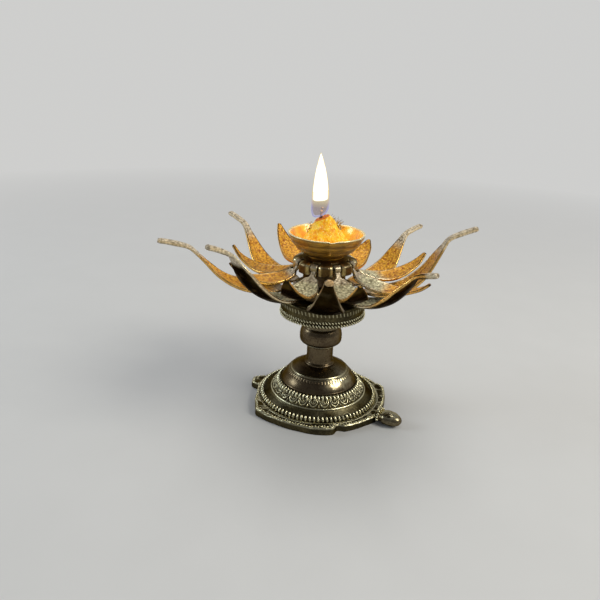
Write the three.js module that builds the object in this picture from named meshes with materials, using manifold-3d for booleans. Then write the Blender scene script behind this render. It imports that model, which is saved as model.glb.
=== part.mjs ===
// A brass lotus oil lamp (diya) on a tortoise foot, in millimetres, +Z up.
// The origin is on the lamp's turning axis, on the surface that the foot stands on.
// A bearing is measured round the axis: 0 degrees is the front (-Y), 90 degrees is +X.
import * as THREE from 'three';
import { mergeVertices } from 'three/addons/utils/BufferGeometryUtils.js';
import Module from 'manifold-3d';

const wasm = await Module();
wasm.setup();

// Stud that holds the stack together
const STUD_RADIUS = 2.0;
const STUD_BORE_CLEARANCE = 0.3;
const STUD_END_Z = 0.5;
const STUD_IN_BOWL = 1.8;
const STUD_TIP_CLEARANCE = 0.3;
const NUT_ACROSS_FLATS = 7.0;
const NUT_HEIGHT = 3.2;
const NUT_BELOW_GAP = 0.5;
const WASHER_RADIUS = 4.6;
const WASHER_THICKNESS = 0.8;

// Tortoise foot
const PLATE_HEIGHT = 3.8;
const PLATE_EDGE_BEVEL = 0.5;
const ROPE_RING_RADIUS = 31.2;
const ROPE_RING_WIRE = 1.2;
const STEP_WIDTH = 4.3;
const STEP_HEIGHT = 3.9;
const BAND_WIDTH = 4.4;
const BAND_HEIGHT = 4.0;
const TOP_ROPE_WIDTH = 1.3;
const TOP_ROPE_HEIGHT = 1.4;
const FOOT_WALL = 2.4;
const FOOT_BOSS_RADIUS = 6.5;
const HEAD_BEARING = 57;
const HEAD_LENGTH = 14.5;
const HEAD_WIDTH = 9.4;
const HEAD_HEIGHT = 7.6;
const HEAD_REACH = 12.4;
const HEAD_FLAT = 0.5;

// Outline of the tortoise's plate, as [bearing, reach beyond the rope ring]: feet, notches, tail and sides
const PLATE_OUTLINE = [
  [-37, 5.4], [-16, 5.0], [-1, 6.2], [9, 6.4], [13, 5.8], [15, 3.2], [19, 3.2], [21, 4.7],
  [42, 5.2], [54, 6.8], [66, 5.4], [77, 5.7], [96, 6.8], [104, 7.6], [110, 5.4], [133, 2.6],
  [157, 3.4], [163, 6.4], [174, 6.8], [180, 4.0], [200, 2.4], [232, 2.4], [240, 2.6],
  [247, 9.0], [257, 7.4], [260, 1.8], [270, 1.8], [296, 5.8], [302, 7.8], [307, 7.2],
];

// Shell: the smooth dome of the tortoise, above the foot
const SHELL_RADIUS = 20.4;
const SHELL_HEIGHT = 9.7;
const SHELL_TOP_RADIUS = 8.6;
const SHELL_GROOVE = 0.4;
const SHELL_WALL = 2.2;

// Stem
const STEM_FLANGE_RADIUS = 8.3;
const STEM_FLANGE_HEIGHT = 0.8;
const NECK_RADIUS = 7.1;
const NECK_HEIGHT = 10.8;
const BEAD_RADIUS = 11.3;
const BEAD_HEIGHT = 13.3;

// Lotus disc
const DISC_RADIUS = 22.7;
const DISC_UNDERSIDE_HEIGHT = 5.7;
const DISC_SIDE_HEIGHT = 9.0;
const DISC_FOOT_RADIUS = 10.8;
const DISC_LIP = 0.5;

// Petal crowns and their hinge wires
const CROWN_RADIUS = 16.5;
const CROWN_HEIGHT = 6.3;
const CROWN_TOP_EDGE = 0.8;
const CROWN_SEAT_HEIGHT = 1.0;
const CROWN_SEAT_RADIUS = 12.5;
const SLOT_COUNT = 8;
const SLOT_WIDTH = 4.2;
const WIRE_DEPTH_IN_CROWN = 2.3;
const WIRE_RADIUS = 0.8;
const WIRE_CLEARANCE = 0.3;
const WIRE_HEIGHT_IN_CROWN = 3.4;
const SLEEVE_RADIUS = 11.0;
const SLEEVE_HEIGHT = 7.6;

// Petals: the eye turns on the wire, the neck joins it to the blade
const EYE_RADIUS = 1.95;
const EYE_SIDE_CLEARANCE = 0.5;
const EYE_FLOOR_CLEARANCE = 0.4;
const EYE_BORE_CLEARANCE = 0.35;
const BLADE_THICKNESS = 1.3;
const LONG_TIP_THICKNESS = 2.4;
const LONG_CUP = 1.8;
const SHORT_CUP = 1.6;

// Middle line of a blade in its own frame: x from the hinge to the tip, z square to it, then the width there.
// The frame's x runs straight from hinge to tip, so each blade starts and ends at z = 0.
const LONG_BLADE = [
  [0.0, 0.0, 3.2], [2.9, -2.0, 3.2], [4.8, -3.3, 3.6], [6.8, -4.6, 9.0], [11.3, -7.0, 14.8],
  [16.0, -8.7, 17.4], [22.1, -9.9, 17.8], [28.9, -9.9, 16.6], [34.0, -9.0, 14.8], [39.0, -7.3, 12.4],
  [45.6, -3.9, 8.6], [51.5, -0.8, 5.2], [55.6, 1.0, 3.9], [63.0, 0.9, 3.6], [70.5, 0.0, 3.4],
];
const SHORT_BLADE = [
  [0.0, 0.0, 3.2], [1.0, -2.4, 3.2], [2.2, -4.2, 3.5], [3.3, -5.6, 7.6], [5.0, -7.2, 9.6],
  [9.5, -9.8, 13.0], [15.0, -11.5, 15.0], [21.0, -12.0, 14.4], [27.0, -11.0, 12.0], [33.0, -8.5, 9.0],
  [38.5, -4.9, 5.6], [43.0, 0.0, 2.0],
];
// Where a blade's extra width begins, is full, starts to go and is gone, as shares of its length
const LONG_OUTER_HALF = [0.3, 0.52, 0.62, 0.82];
const SHORT_OUTER_HALF = [0.4, 0.7, 0.9, 1.02];
// Where a long blade begins to thicken towards its tip, and where it has its full thickness
const TIP_THICKENS = [0.7, 0.9];

// Petals as they hang on their open stops:
// [station, length, bearing of the tip, lift of the tip in degrees, depth of the sag as a share of the pattern's,
// extra width of the blade's outer half].
// Each is one of sixteen castings fitted by hand, so no two stand quite alike.
const LONG_PETALS = [
  [0, 70.0, -0.7, 24.3, 1.0, 0.0],
  [45, 65.0, 37.0, 25.0, 1.0, 5.0],
  [90, 70.5, 90.5, 29.0, 1.3, 3.0],
  [135, 71.0, 134.5, 17.3, 1.2, 0.0],
  [180, 70.0, 180.0, 20.0, 1.1, 0.0],
  [225, 70.0, 224.4, 20.2, 1.2, -1.5],
  [270, 73.0, 277.0, 19.2, 1.0, -4.5],
  [315, 69.0, 315.6, 29.5, 1.06, 4.5],
];
const SHORT_PETALS = [
  [22.5, 42.0, 13.5, 8.2, 1.0, 2.6],
  [67.5, 41.0, 65.0, -3.2, 0.82, 0.0],
  [112.5, 45.0, 111.0, 0.9, 1.0, 0.9],
  [157.5, 45.0, 152.3, -1.8, 1.0, 3.0],
  [202.5, 45.0, 206.6, 7.6, 1.0, 0.7],
  [247.5, 40.5, 246.0, 0.3, 1.0, -1.8],
  [292.5, 36.5, 293.5, 4.8, 0.95, 0.0],
  [337.5, 41.0, 340.7, 9.0, 1.0, 1.4],
];

// Bowl, cotton and flame
const BOWL_FOOT_RADIUS = 9.0;
const BOWL_RIM_RADIUS = 19.6;
const BOWL_HEIGHT = 12.6;
const BOWL_WALL = 1.2;
const BOWL_FLOOR = 3.3;
const GHEE_RADIUS = 12.6;
const GHEE_PEAK_ABOVE_RIM = 9.4;
const GHEE_PEAK_SHIFT = 2.4;
const GHEE_CLEARANCE = 0.3;
const WICK_RADIUS = 0.9;
const WICK_CLEARANCE = 0.3;
const WICK_OUT = 3.0;
const WICK_IN = 5.0;
const WICK_X = -3.2;
const FLAME_RADIUS = 4.4;
const FLAME_HEIGHT = 28.6;
const FLAME_GAP = 0.3;
const FLAME_X = -3.8;
const FLAME_TIP_SHIFT = 0.9;

// How far a cutter runs past the faces that it cuts through
const CUT_PAST = 1;

// Fineness of the round shapes
const BIG_TURN = 36;
const SMALL_TURN = 24;
const WIRE_TURN = 32;
const WIRE_SIDES = 6;
const EYE_SIDES = 12;
const EYE_BORE_SIDES = 8;
const WICK_SIDES = 12;
const LONG_STATIONS = 15;
const SHORT_STATIONS = 12;

const LONG_PATTERN = {
  blade: LONG_BLADE, cup: LONG_CUP, tipThickness: LONG_TIP_THICKNESS, stations: LONG_STATIONS,
  outerHalf: LONG_OUTER_HALF,
};
const SHORT_PATTERN = {
  blade: SHORT_BLADE, cup: SHORT_CUP, tipThickness: BLADE_THICKNESS, stations: SHORT_STATIONS,
  outerHalf: SHORT_OUTER_HALF,
};

// Places worked out from the sizes above
const wireCircle = CROWN_RADIUS - WIRE_DEPTH_IN_CROWN;
const studBore = STUD_RADIUS + STUD_BORE_CLEARANCE;
const nutBottomZ = STUD_END_Z + NUT_BELOW_GAP;
const washerBottomZ = nutBottomZ + NUT_HEIGHT;
const bossBottomZ = washerBottomZ + WASHER_THICKNESS;
const stepBottomZ = PLATE_HEIGHT + ROPE_RING_WIRE;
const bandBottomZ = PLATE_HEIGHT + STEP_HEIGHT;
const bandTopZ = bandBottomZ + BAND_HEIGHT;
const footTopZ = bandTopZ + TOP_ROPE_HEIGHT;
const shellTopZ = footTopZ + SHELL_HEIGHT;
const beadBottomZ = shellTopZ + NECK_HEIGHT;
const stemTopZ = beadBottomZ + BEAD_HEIGHT;
const discLipZ = stemTopZ + DISC_UNDERSIDE_HEIGHT;
const discTopZ = discLipZ + DISC_SIDE_HEIGHT;
const lowerCrownZ = discTopZ + CROWN_SEAT_HEIGHT;
const sleeveZ = lowerCrownZ + CROWN_HEIGHT;
const upperCrownZ = sleeveZ + SLEEVE_HEIGHT;
const bowlZ = upperCrownZ + CROWN_HEIGHT;
const bowlRimZ = bowlZ + BOWL_HEIGHT;
const gheePeakZ = bowlRimZ + GHEE_PEAK_ABOVE_RIM;
const lowerHingeZ = lowerCrownZ + WIRE_HEIGHT_IN_CROWN;
const upperHingeZ = upperCrownZ + WIRE_HEIGHT_IN_CROWN;

const brass = new THREE.MeshStandardMaterial({ color: 0x9a7b34, roughness: 0.38, metalness: 1.0 });
const castBrass = new THREE.MeshStandardMaterial({ color: 0x8a6f33, roughness: 0.55, metalness: 1.0 });
const steel = new THREE.MeshStandardMaterial({ color: 0x8c8c88, roughness: 0.4, metalness: 1.0 });
const gheeCotton = new THREE.MeshStandardMaterial({ color: 0xe0a22c, roughness: 0.6, metalness: 0.0 });
const cottonWick = new THREE.MeshStandardMaterial({ color: 0x3a2a1a, roughness: 0.9, metalness: 0.0 });
const fire = new THREE.MeshStandardMaterial({ color: 0xffd070, roughness: 1.0, metalness: 0.0 });

const lamp = new THREE.Group();

function radians(degrees) {
  return THREE.MathUtils.degToRad(degrees);
}

// Unit direction, seen from above, of a bearing
function direction(bearing) {
  return new THREE.Vector2(Math.sin(radians(bearing)), -Math.cos(radians(bearing)));
}

// A profile of [radius, height] points, anticlockwise, turned about the lamp's axis
function turned(profile, segments) {
  const points = profile.map(([r, z]) => new THREE.Vector2(r, z));
  const geometry = new THREE.LatheGeometry(points, segments);
  geometry.rotateX(Math.PI / 2);
  return geometry;
}

// The same, with a straight bore of the given radius through it: the profile is the outside, from the bottom up
function turnedWithBore(outside, bore, segments) {
  const bottom = outside[0][1];
  const top = outside[outside.length - 1][1];
  return turned([[bore, bottom], ...outside, [bore, top], [bore, bottom]], segments);
}

function solidOf(geometry) {
  const bare = geometry.index ? geometry.toNonIndexed() : geometry.clone();
  bare.deleteAttribute('normal');
  bare.deleteAttribute('uv');
  const merged = mergeVertices(bare, 1e-4);
  const mesh = new wasm.Mesh({
    numProp: 3,
    vertProperties: new Float32Array(merged.attributes.position.array),
    triVerts: new Uint32Array(merged.index.array),
  });
  return new wasm.Manifold(mesh);
}

function geometryOf(solid) {
  const mesh = solid.getMesh();
  const geometry = new THREE.BufferGeometry();
  geometry.setAttribute('position', new THREE.BufferAttribute(new Float32Array(mesh.vertProperties), 3));
  geometry.setIndex(new THREE.BufferAttribute(new Uint32Array(mesh.triVerts), 1));
  geometry.computeVertexNormals();
  return geometry;
}

function add(name, geometry, material, parent = lamp) {
  const mesh = new THREE.Mesh(geometry, material);
  mesh.name = name;
  parent.add(mesh);
  return mesh;
}

// A closed skin over rings of points: each ring has the same number of points, in order round the solid
function skinOver(rings) {
  const around = rings[0].length;
  const positions = rings.flat().flatMap((p) => [p.x, p.y, p.z]);
  const faces = [];
  for (let i = 0; i + 1 < rings.length; i++) {
    for (let k = 0; k < around; k++) {
      const a = i * around + k;
      const b = i * around + ((k + 1) % around);
      faces.push(a, b, b + around, a, b + around, a + around);
    }
  }
  const last = (rings.length - 1) * around;
  for (let k = 1; k + 1 < around; k++) {
    faces.push(0, k + 1, k);
    faces.push(last, last + k, last + k + 1);
  }
  const geometry = new THREE.BufferGeometry();
  geometry.setAttribute('position', new THREE.Float32BufferAttribute(positions, 3));
  geometry.setIndex(faces);
  return geometry;
}

// Tortoise foot: plate with head and feet, rope rings, step and leaf band, hollow underneath
function tortoiseFoot() {
  const plateInset = ROPE_RING_RADIUS - PLATE_EDGE_BEVEL;
  const outline = new THREE.Shape(
    PLATE_OUTLINE.map(([bearing, reach]) => direction(bearing).multiplyScalar(plateInset + reach)),
  );
  const plate = new THREE.ExtrudeGeometry(outline, {
    depth: PLATE_HEIGHT - PLATE_EDGE_BEVEL,
    bevelThickness: PLATE_EDGE_BEVEL,
    bevelSize: PLATE_EDGE_BEVEL,
    bevelSegments: 1,
  });

  const ropeOuter = ROPE_RING_RADIUS + ROPE_RING_WIRE;
  const stepOuter = ROPE_RING_RADIUS - ROPE_RING_WIRE;
  const bandOuter = stepOuter - STEP_WIDTH;
  const bandInner = bandOuter - BAND_WIDTH;
  const rings = turned([
    [0, PLATE_HEIGHT / 2],
    [ropeOuter, PLATE_HEIGHT / 2],
    [ropeOuter, stepBottomZ - ROPE_RING_WIRE / 2],
    [ROPE_RING_RADIUS, stepBottomZ + ROPE_RING_WIRE * 0.6],
    [stepOuter, stepBottomZ],
    [stepOuter - STEP_WIDTH * 0.3, stepBottomZ + (bandBottomZ - stepBottomZ) * 0.6],
    [bandOuter, bandBottomZ],
    [bandOuter, bandBottomZ + ROPE_RING_WIRE * 0.5],
    [bandInner, bandTopZ],
    [bandInner, footTopZ - TOP_ROPE_WIDTH * 0.4],
    [bandInner - TOP_ROPE_WIDTH * 0.4, footTopZ],
    [0, footTopZ],
  ], BIG_TURN);

  const reach = direction(HEAD_BEARING).multiplyScalar(ROPE_RING_RADIUS + HEAD_REACH);
  const head = new THREE.SphereGeometry(0.5, 16, 10);
  head.scale(HEAD_LENGTH, HEAD_WIDTH, HEAD_HEIGHT);
  head.rotateZ(radians(HEAD_BEARING - 90));
  head.translate(reach.x, reach.y, HEAD_HEIGHT / 2 - HEAD_FLAT);

  const hollow = turned([
    [0, -CUT_PAST],
    [ropeOuter - FOOT_WALL, -CUT_PAST],
    [ropeOuter - FOOT_WALL, PLATE_HEIGHT - FOOT_WALL],
    [bandOuter - FOOT_WALL * 0.6, bandBottomZ - FOOT_WALL],
    [bandInner - FOOT_WALL, footTopZ - FOOT_WALL * 1.5],
    [FOOT_BOSS_RADIUS, footTopZ - FOOT_WALL * 1.5],
    [FOOT_BOSS_RADIUS, bossBottomZ],
    [0, bossBottomZ],
  ], BIG_TURN);
  const boreTop = footTopZ + CUT_PAST;
  const bore = turned([[0, -CUT_PAST], [studBore, -CUT_PAST], [studBore, boreTop], [0, boreTop]], SMALL_TURN);
  const belowFloor = new THREE.BoxGeometry(4 * ropeOuter, 4 * ropeOuter, HEAD_HEIGHT);
  belowFloor.translate(0, 0, -HEAD_HEIGHT / 2);

  const whole = solidOf(plate).add(solidOf(rings)).add(solidOf(head));
  const cut = whole.subtract(solidOf(hollow)).subtract(solidOf(bore)).subtract(solidOf(belowFloor));
  add('tortoise_foot', geometryOf(cut), castBrass);
}

// Shell: a thin dome, open below, whose rim stands on the foot
function shell() {
  const rim = SHELL_RADIUS;
  const top = SHELL_TOP_RADIUS;
  const rise = (share) => footTopZ + SHELL_HEIGHT * share;
  const across = (share) => top + (rim - top) * share;
  const outside = [
    [rim, footTopZ], [across(0.95), rise(0.15)], [across(0.85), rise(0.34)], [across(0.72), rise(0.52)],
    [across(0.64), rise(0.64)], [across(0.62) - SHELL_GROOVE, rise(0.66) - SHELL_GROOVE],
    [across(0.60), rise(0.68)], [across(0.40), rise(0.83)], [across(0.20), rise(0.94)], [top, shellTopZ],
  ];
  const inside = [
    [studBore, shellTopZ - SHELL_WALL], [across(0.20) - SHELL_WALL * 0.5, rise(0.94) - SHELL_WALL],
    [across(0.58) - SHELL_WALL * 0.7, rise(0.68) - SHELL_WALL * 0.8],
    [across(0.85) - SHELL_WALL, rise(0.34) - SHELL_WALL * 0.3], [rim - SHELL_WALL, footTopZ],
  ];
  add('shell', turned([...outside, [studBore, shellTopZ], ...inside, outside[0]], BIG_TURN), brass);
}

// Stem: a plain neck below a fat turned bead
function stem() {
  const up = (share) => beadBottomZ + BEAD_HEIGHT * share;
  const out = (share) => NECK_RADIUS + (BEAD_RADIUS - NECK_RADIUS) * share;
  const flangeTopZ = shellTopZ + STEM_FLANGE_HEIGHT;
  add('stem', turnedWithBore([
    [STEM_FLANGE_RADIUS, shellTopZ], [STEM_FLANGE_RADIUS, flangeTopZ], [NECK_RADIUS, flangeTopZ + NECK_HEIGHT * 0.1],
    [NECK_RADIUS, beadBottomZ], [out(0.36), up(0.01)], [out(0.46), up(0.06)], [out(0.84), up(0.13)],
    [out(1), up(0.28)], [out(1), up(0.50)], [out(0.92), up(0.68)], [out(0.66), up(0.80)], [out(0.66), stemTopZ],
  ], studBore, SMALL_TURN), brass);
}

// Lotus disc: stepped underside, double lip and a straight engraved side
function lotusDisc() {
  const up = (share) => stemTopZ + DISC_UNDERSIDE_HEIGHT * share;
  const out = (share) => DISC_FOOT_RADIUS + (DISC_RADIUS - DISC_FOOT_RADIUS) * share;
  const side = DISC_RADIUS - DISC_LIP;
  add('lotus_disc', turnedWithBore([
    [DISC_FOOT_RADIUS, stemTopZ], [out(0.12), up(0.12)], [out(0.20), up(0.30)], [out(0.42), up(0.38)],
    [out(0.52), up(0.56)], [out(0.76), up(0.66)], [out(0.88), up(0.82)], [out(0.98), up(0.92)],
    [DISC_RADIUS, discLipZ], [side, discLipZ + DISC_LIP * 2], [side, discTopZ - DISC_LIP * 4],
    [DISC_RADIUS, discTopZ - DISC_LIP * 3], [DISC_RADIUS, discTopZ - DISC_LIP], [side, discTopZ],
  ], studBore, BIG_TURN), castBrass);
}

// Crown: a slotted ring of blocks with a round tunnel for the hinge wire
function crown(name, bottomZ, seatHeight) {
  const body = turnedWithBore([
    [CROWN_SEAT_RADIUS, bottomZ - seatHeight], [CROWN_SEAT_RADIUS, bottomZ], [CROWN_RADIUS, bottomZ],
    [CROWN_RADIUS, bottomZ + CROWN_HEIGHT - CROWN_TOP_EDGE], [CROWN_RADIUS - CROWN_TOP_EDGE, bottomZ + CROWN_HEIGHT],
  ].slice(seatHeight > 0 ? 0 : 2), studBore, BIG_TURN);
  let solid = solidOf(body);
  const slotFloor = wireCircle - EYE_RADIUS - EYE_FLOOR_CLEARANCE;
  const slotLength = CROWN_RADIUS - slotFloor + CUT_PAST;
  const offset = bottomZ === upperCrownZ ? 0.5 : 0;
  for (let k = 0; k < SLOT_COUNT; k++) {
    const slot = new THREE.BoxGeometry(slotLength, SLOT_WIDTH, CROWN_HEIGHT + 2 * CUT_PAST);
    slot.translate(slotFloor + slotLength / 2, 0, bottomZ + CROWN_HEIGHT / 2);
    slot.rotateZ(radians((360 / SLOT_COUNT) * (k + offset) - 90));
    solid = solid.subtract(solidOf(slot));
  }
  const tunnel = new THREE.TorusGeometry(wireCircle, WIRE_RADIUS + WIRE_CLEARANCE, WIRE_SIDES, WIRE_TURN);
  tunnel.translate(0, 0, bottomZ + WIRE_HEIGHT_IN_CROWN);
  add(name, geometryOf(solid.subtract(solidOf(tunnel))), castBrass);
}

function hingeWire(name, z) {
  const wire = new THREE.TorusGeometry(wireCircle, WIRE_RADIUS, WIRE_SIDES, WIRE_TURN);
  wire.translate(0, 0, z);
  add(name, wire, brass);
}

// Blade of a petal, with its eye: built with the hinge at the origin and the tip on the x axis.
// Sections are square to the middle line, cupped upwards at both edges, and the blade is bent sideways by bend.
function petalGeometry(pattern, length, bend, sag, extraWidth) {
  const { blade, cup, tipThickness, stations, outerHalf } = pattern;
  const nominal = blade[blade.length - 1][0];
  const stretch = length / nominal;
  const widest = Math.max(...blade.map((row) => row[2]));
  const line = new THREE.CatmullRomCurve3(
    blade.map(([x, z, width]) => new THREE.Vector3(x * stretch, z * stretch * sag, width)),
    false,
    'centripetal',
  );
  const startAt = 0.01;
  const rings = [];
  for (let i = 0; i <= stations; i++) {
    const t = startAt + (1 - startAt) * (i / stations);
    const p = line.getPoint(t);
    const tangent = line.getTangent(t);
    const slope = new THREE.Vector2(tangent.x, tangent.y).normalize();
    const fraction = p.x / length;
    const extra = extraWidth * THREE.MathUtils.smoothstep(fraction, outerHalf[0], outerHalf[1])
      * (1 - THREE.MathUtils.smoothstep(fraction, outerHalf[2], outerHalf[3]));
    const half = (p.z + extra) / 2;
    const thickening = THREE.MathUtils.smoothstep(fraction, TIP_THICKENS[0], TIP_THICKENS[1]);
    const thickness = THREE.MathUtils.lerp(BLADE_THICKNESS, tipThickness, thickening);
    const sideways = bend * fraction * fraction;
    const place = (across, height) => {
      const raised = height + cup * (half / (widest / 2)) ** 2 * across * across;
      return new THREE.Vector3(p.x - slope.y * raised, sideways + across * half, p.y + slope.x * raised);
    };
    const up = thickness / 2;
    rings.push([
      place(-1, up), place(-0.5, up), place(0, up), place(0.5, up), place(1, up),
      place(1, -up), place(0, -up), place(-1, -up),
    ].reverse());
  }
  const eyeWidth = SLOT_WIDTH - 2 * EYE_SIDE_CLEARANCE;
  const eye = new THREE.CylinderGeometry(EYE_RADIUS, EYE_RADIUS, eyeWidth, EYE_SIDES);
  const holeRadius = WIRE_RADIUS + EYE_BORE_CLEARANCE;
  const hole = new THREE.CylinderGeometry(holeRadius, holeRadius, eyeWidth + 2 * CUT_PAST, EYE_BORE_SIDES);
  return geometryOf(solidOf(skinOver(rings)).add(solidOf(eye)).subtract(solidOf(hole)));
}

function petals(prefix, rows, pattern, hingeZ) {
  rows.forEach(([station, length, tipBearing, lift, sag, extraWidth], index) => {
    const reach = wireCircle + length * Math.cos(radians(lift));
    const bend = reach * Math.sin(radians(tipBearing - station));
    const arm = new THREE.Group();
    arm.rotation.z = radians(station - 90);
    lamp.add(arm);
    const geometry = petalGeometry(pattern, length, bend, sag, extraWidth);
    const petal = add(`${prefix}_${index + 1}`, geometry, castBrass, arm);
    petal.position.set(wireCircle, 0, hingeZ);
    petal.rotation.y = -radians(lift);
  });
}

// Bowl: a thin round cup with a thick floor, which the stud's tip screws into
function bowl() {
  const up = (share) => bowlZ + BOWL_HEIGHT * share;
  const out = (share) => BOWL_FOOT_RADIUS + (BOWL_RIM_RADIUS - BOWL_FOOT_RADIUS) * share;
  const socketTop = bowlZ + STUD_IN_BOWL + STUD_TIP_CLEARANCE;
  const outside = [
    [BOWL_FOOT_RADIUS, bowlZ], [out(0.04), up(0.06)], [out(0.34), up(0.21)], [out(0.62), up(0.42)],
    [out(0.80), up(0.60)], [out(0.97), up(0.90)], [out(1), up(0.94)],
  ];
  const inside = [
    [BOWL_RIM_RADIUS - BOWL_WALL * 0.5, bowlRimZ], [BOWL_RIM_RADIUS - BOWL_WALL, up(0.95)],
    ...bowlInside(0),
  ];
  add('bowl', turned([
    [0, socketTop], [studBore, socketTop], [studBore, bowlZ], ...outside, ...inside,
  ], BIG_TURN), castBrass);
}

// Inner face of the bowl, from near the rim to the axis, moved inwards by a clearance
function bowlInside(clearance) {
  const up = (share) => bowlZ + BOWL_HEIGHT * share + clearance;
  const wall = BOWL_WALL + clearance;
  const out = (share) => BOWL_FOOT_RADIUS + (BOWL_RIM_RADIUS - BOWL_FOOT_RADIUS) * share - wall;
  return [
    [out(0.81), up(0.66)], [out(0.62), up(0.50)], [out(0.34), up(0.34)],
    [out(0.0), bowlZ + BOWL_FLOOR + clearance], [0, bowlZ + BOWL_FLOOR + clearance],
  ];
}

// Ghee-soaked cotton: a steep heap in the bowl, with a blind hole for the wick
function gheeHeap() {
  const floor = bowlInside(GHEE_CLEARANCE).slice(2).reverse();
  const edgeZ = bowlZ + BOWL_HEIGHT * 0.50;
  const rise = (share) => edgeZ + (gheePeakZ - edgeZ) * share;
  const heap = turned([
    ...floor,
    [GHEE_RADIUS, edgeZ], [GHEE_RADIUS * 0.80, rise(0.30)], [GHEE_RADIUS * 0.58, rise(0.56)],
    [GHEE_RADIUS * 0.38, rise(0.80)], [GHEE_RADIUS * 0.20, rise(0.95)], [0, gheePeakZ],
  ], SMALL_TURN);
  const place = heap.attributes.position;
  for (let i = 0; i < place.count; i++) {
    const share = THREE.MathUtils.clamp((place.getZ(i) - edgeZ) / (gheePeakZ - edgeZ), 0, 1);
    place.setX(i, place.getX(i) - GHEE_PEAK_SHIFT * share);
  }
  const holeRadius = WICK_RADIUS + WICK_CLEARANCE;
  const hole = new THREE.CylinderGeometry(holeRadius, holeRadius, 2 * WICK_IN, WICK_SIDES);
  hole.rotateX(Math.PI / 2);
  hole.translate(WICK_X, 0, gheePeakZ - WICK_CLEARANCE);
  add('ghee_cotton', geometryOf(solidOf(heap).subtract(solidOf(hole))), gheeCotton);

  const wick = new THREE.CylinderGeometry(WICK_RADIUS * 0.7, WICK_RADIUS, WICK_IN + WICK_OUT, WICK_SIDES);
  wick.rotateX(Math.PI / 2);
  wick.translate(WICK_X, 0, gheePeakZ - WICK_IN + (WICK_IN + WICK_OUT) / 2);
  add('wick_tip', wick, cottonWick);
}

// Flame: a slim drop round the wick's tip, leaning a little as it rises
function flame() {
  const bottomZ = gheePeakZ + FLAME_GAP;
  const up = (share) => bottomZ + FLAME_HEIGHT * share;
  const pocket = WICK_RADIUS + WICK_CLEARANCE + Math.abs(FLAME_X - WICK_X);
  const pocketTop = gheePeakZ + WICK_OUT + WICK_CLEARANCE;
  const drop = turned([
    [0, pocketTop], [pocket, pocketTop], [pocket, bottomZ], [FLAME_RADIUS * 0.74, bottomZ],
    [FLAME_RADIUS * 0.96, up(0.08)], [FLAME_RADIUS, up(0.17)], [FLAME_RADIUS * 0.92, up(0.30)],
    [FLAME_RADIUS * 0.74, up(0.46)], [FLAME_RADIUS * 0.52, up(0.64)], [FLAME_RADIUS * 0.27, up(0.83)], [0, up(1)],
  ], SMALL_TURN);
  const place = drop.attributes.position;
  for (let i = 0; i < place.count; i++) {
    const share = THREE.MathUtils.clamp((place.getZ(i) - pocketTop) / FLAME_HEIGHT, 0, 1);
    place.setX(i, place.getX(i) + FLAME_X - FLAME_TIP_SHIFT * share * share);
  }
  add('flame', drop, fire);
}

// Stud, washer and nut under the foot, and the sleeve between the crowns
function fasteners() {
  const studTopZ = bowlZ + STUD_IN_BOWL;
  add('stud', turned([
    [0, STUD_END_Z], [STUD_RADIUS, STUD_END_Z], [STUD_RADIUS, studTopZ], [0, studTopZ],
  ], SMALL_TURN), steel);
  add('washer', turnedWithBore([
    [WASHER_RADIUS, washerBottomZ], [WASHER_RADIUS, bossBottomZ],
  ], studBore, SMALL_TURN), steel);
  const hexagon = new THREE.Shape();
  const corner = NUT_ACROSS_FLATS / 2 / Math.cos(Math.PI / 6);
  for (let k = 0; k < 6; k++) {
    hexagon[k ? 'lineTo' : 'moveTo'](corner * Math.cos((k * Math.PI) / 3), corner * Math.sin((k * Math.PI) / 3));
  }
  hexagon.holes.push(new THREE.Path().absarc(0, 0, studBore, 0, 2 * Math.PI, true));
  const nut = new THREE.ExtrudeGeometry(hexagon, { depth: NUT_HEIGHT, bevelEnabled: false, curveSegments: 12 });
  nut.translate(0, 0, nutBottomZ);
  add('retaining_nut', nut, steel);
  add('crown_sleeve', turnedWithBore([
    [SLEEVE_RADIUS, sleeveZ], [SLEEVE_RADIUS, upperCrownZ],
  ], studBore, SMALL_TURN), brass);
}

tortoiseFoot();
shell();
stem();
lotusDisc();
crown('lower_petal_crown', lowerCrownZ, CROWN_SEAT_HEIGHT);
crown('upper_petal_crown', upperCrownZ, 0);
hingeWire('lower_hinge_wire', lowerHingeZ);
hingeWire('upper_hinge_wire', upperHingeZ);
petals('long_petal', LONG_PETALS, LONG_PATTERN, lowerHingeZ);
petals('short_petal', SHORT_PETALS, SHORT_PATTERN, upperHingeZ);
bowl();
gheeHeap();
flame();
fasteners();

export default lamp;
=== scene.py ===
"""A brass lotus oil lamp on a tortoise foot: its finished surfaces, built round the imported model.

Lengths in this file are millimetres until make() writes them into a mesh in metres. The lamp's axis is
x = y = 0, a bearing is measured round it from the front (-Y) towards +X, and z = 0 is the table.
"""
import math

import bpy
import numpy as np
from mathutils import Matrix, Vector


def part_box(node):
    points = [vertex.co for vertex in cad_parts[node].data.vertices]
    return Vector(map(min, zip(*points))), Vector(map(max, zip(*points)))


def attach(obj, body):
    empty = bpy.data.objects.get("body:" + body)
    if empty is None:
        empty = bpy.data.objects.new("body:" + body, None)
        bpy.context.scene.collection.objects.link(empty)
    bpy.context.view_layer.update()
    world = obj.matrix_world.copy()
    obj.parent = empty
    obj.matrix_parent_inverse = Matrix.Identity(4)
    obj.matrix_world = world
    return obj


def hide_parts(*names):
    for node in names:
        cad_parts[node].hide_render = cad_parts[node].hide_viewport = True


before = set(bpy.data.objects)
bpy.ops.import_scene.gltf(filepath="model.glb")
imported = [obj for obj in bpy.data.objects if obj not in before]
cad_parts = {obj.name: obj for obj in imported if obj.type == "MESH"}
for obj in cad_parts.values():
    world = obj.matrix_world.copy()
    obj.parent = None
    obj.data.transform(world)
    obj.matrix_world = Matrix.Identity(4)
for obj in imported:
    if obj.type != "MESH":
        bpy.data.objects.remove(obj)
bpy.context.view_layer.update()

MM = 0.001
STAND = "stand"

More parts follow.
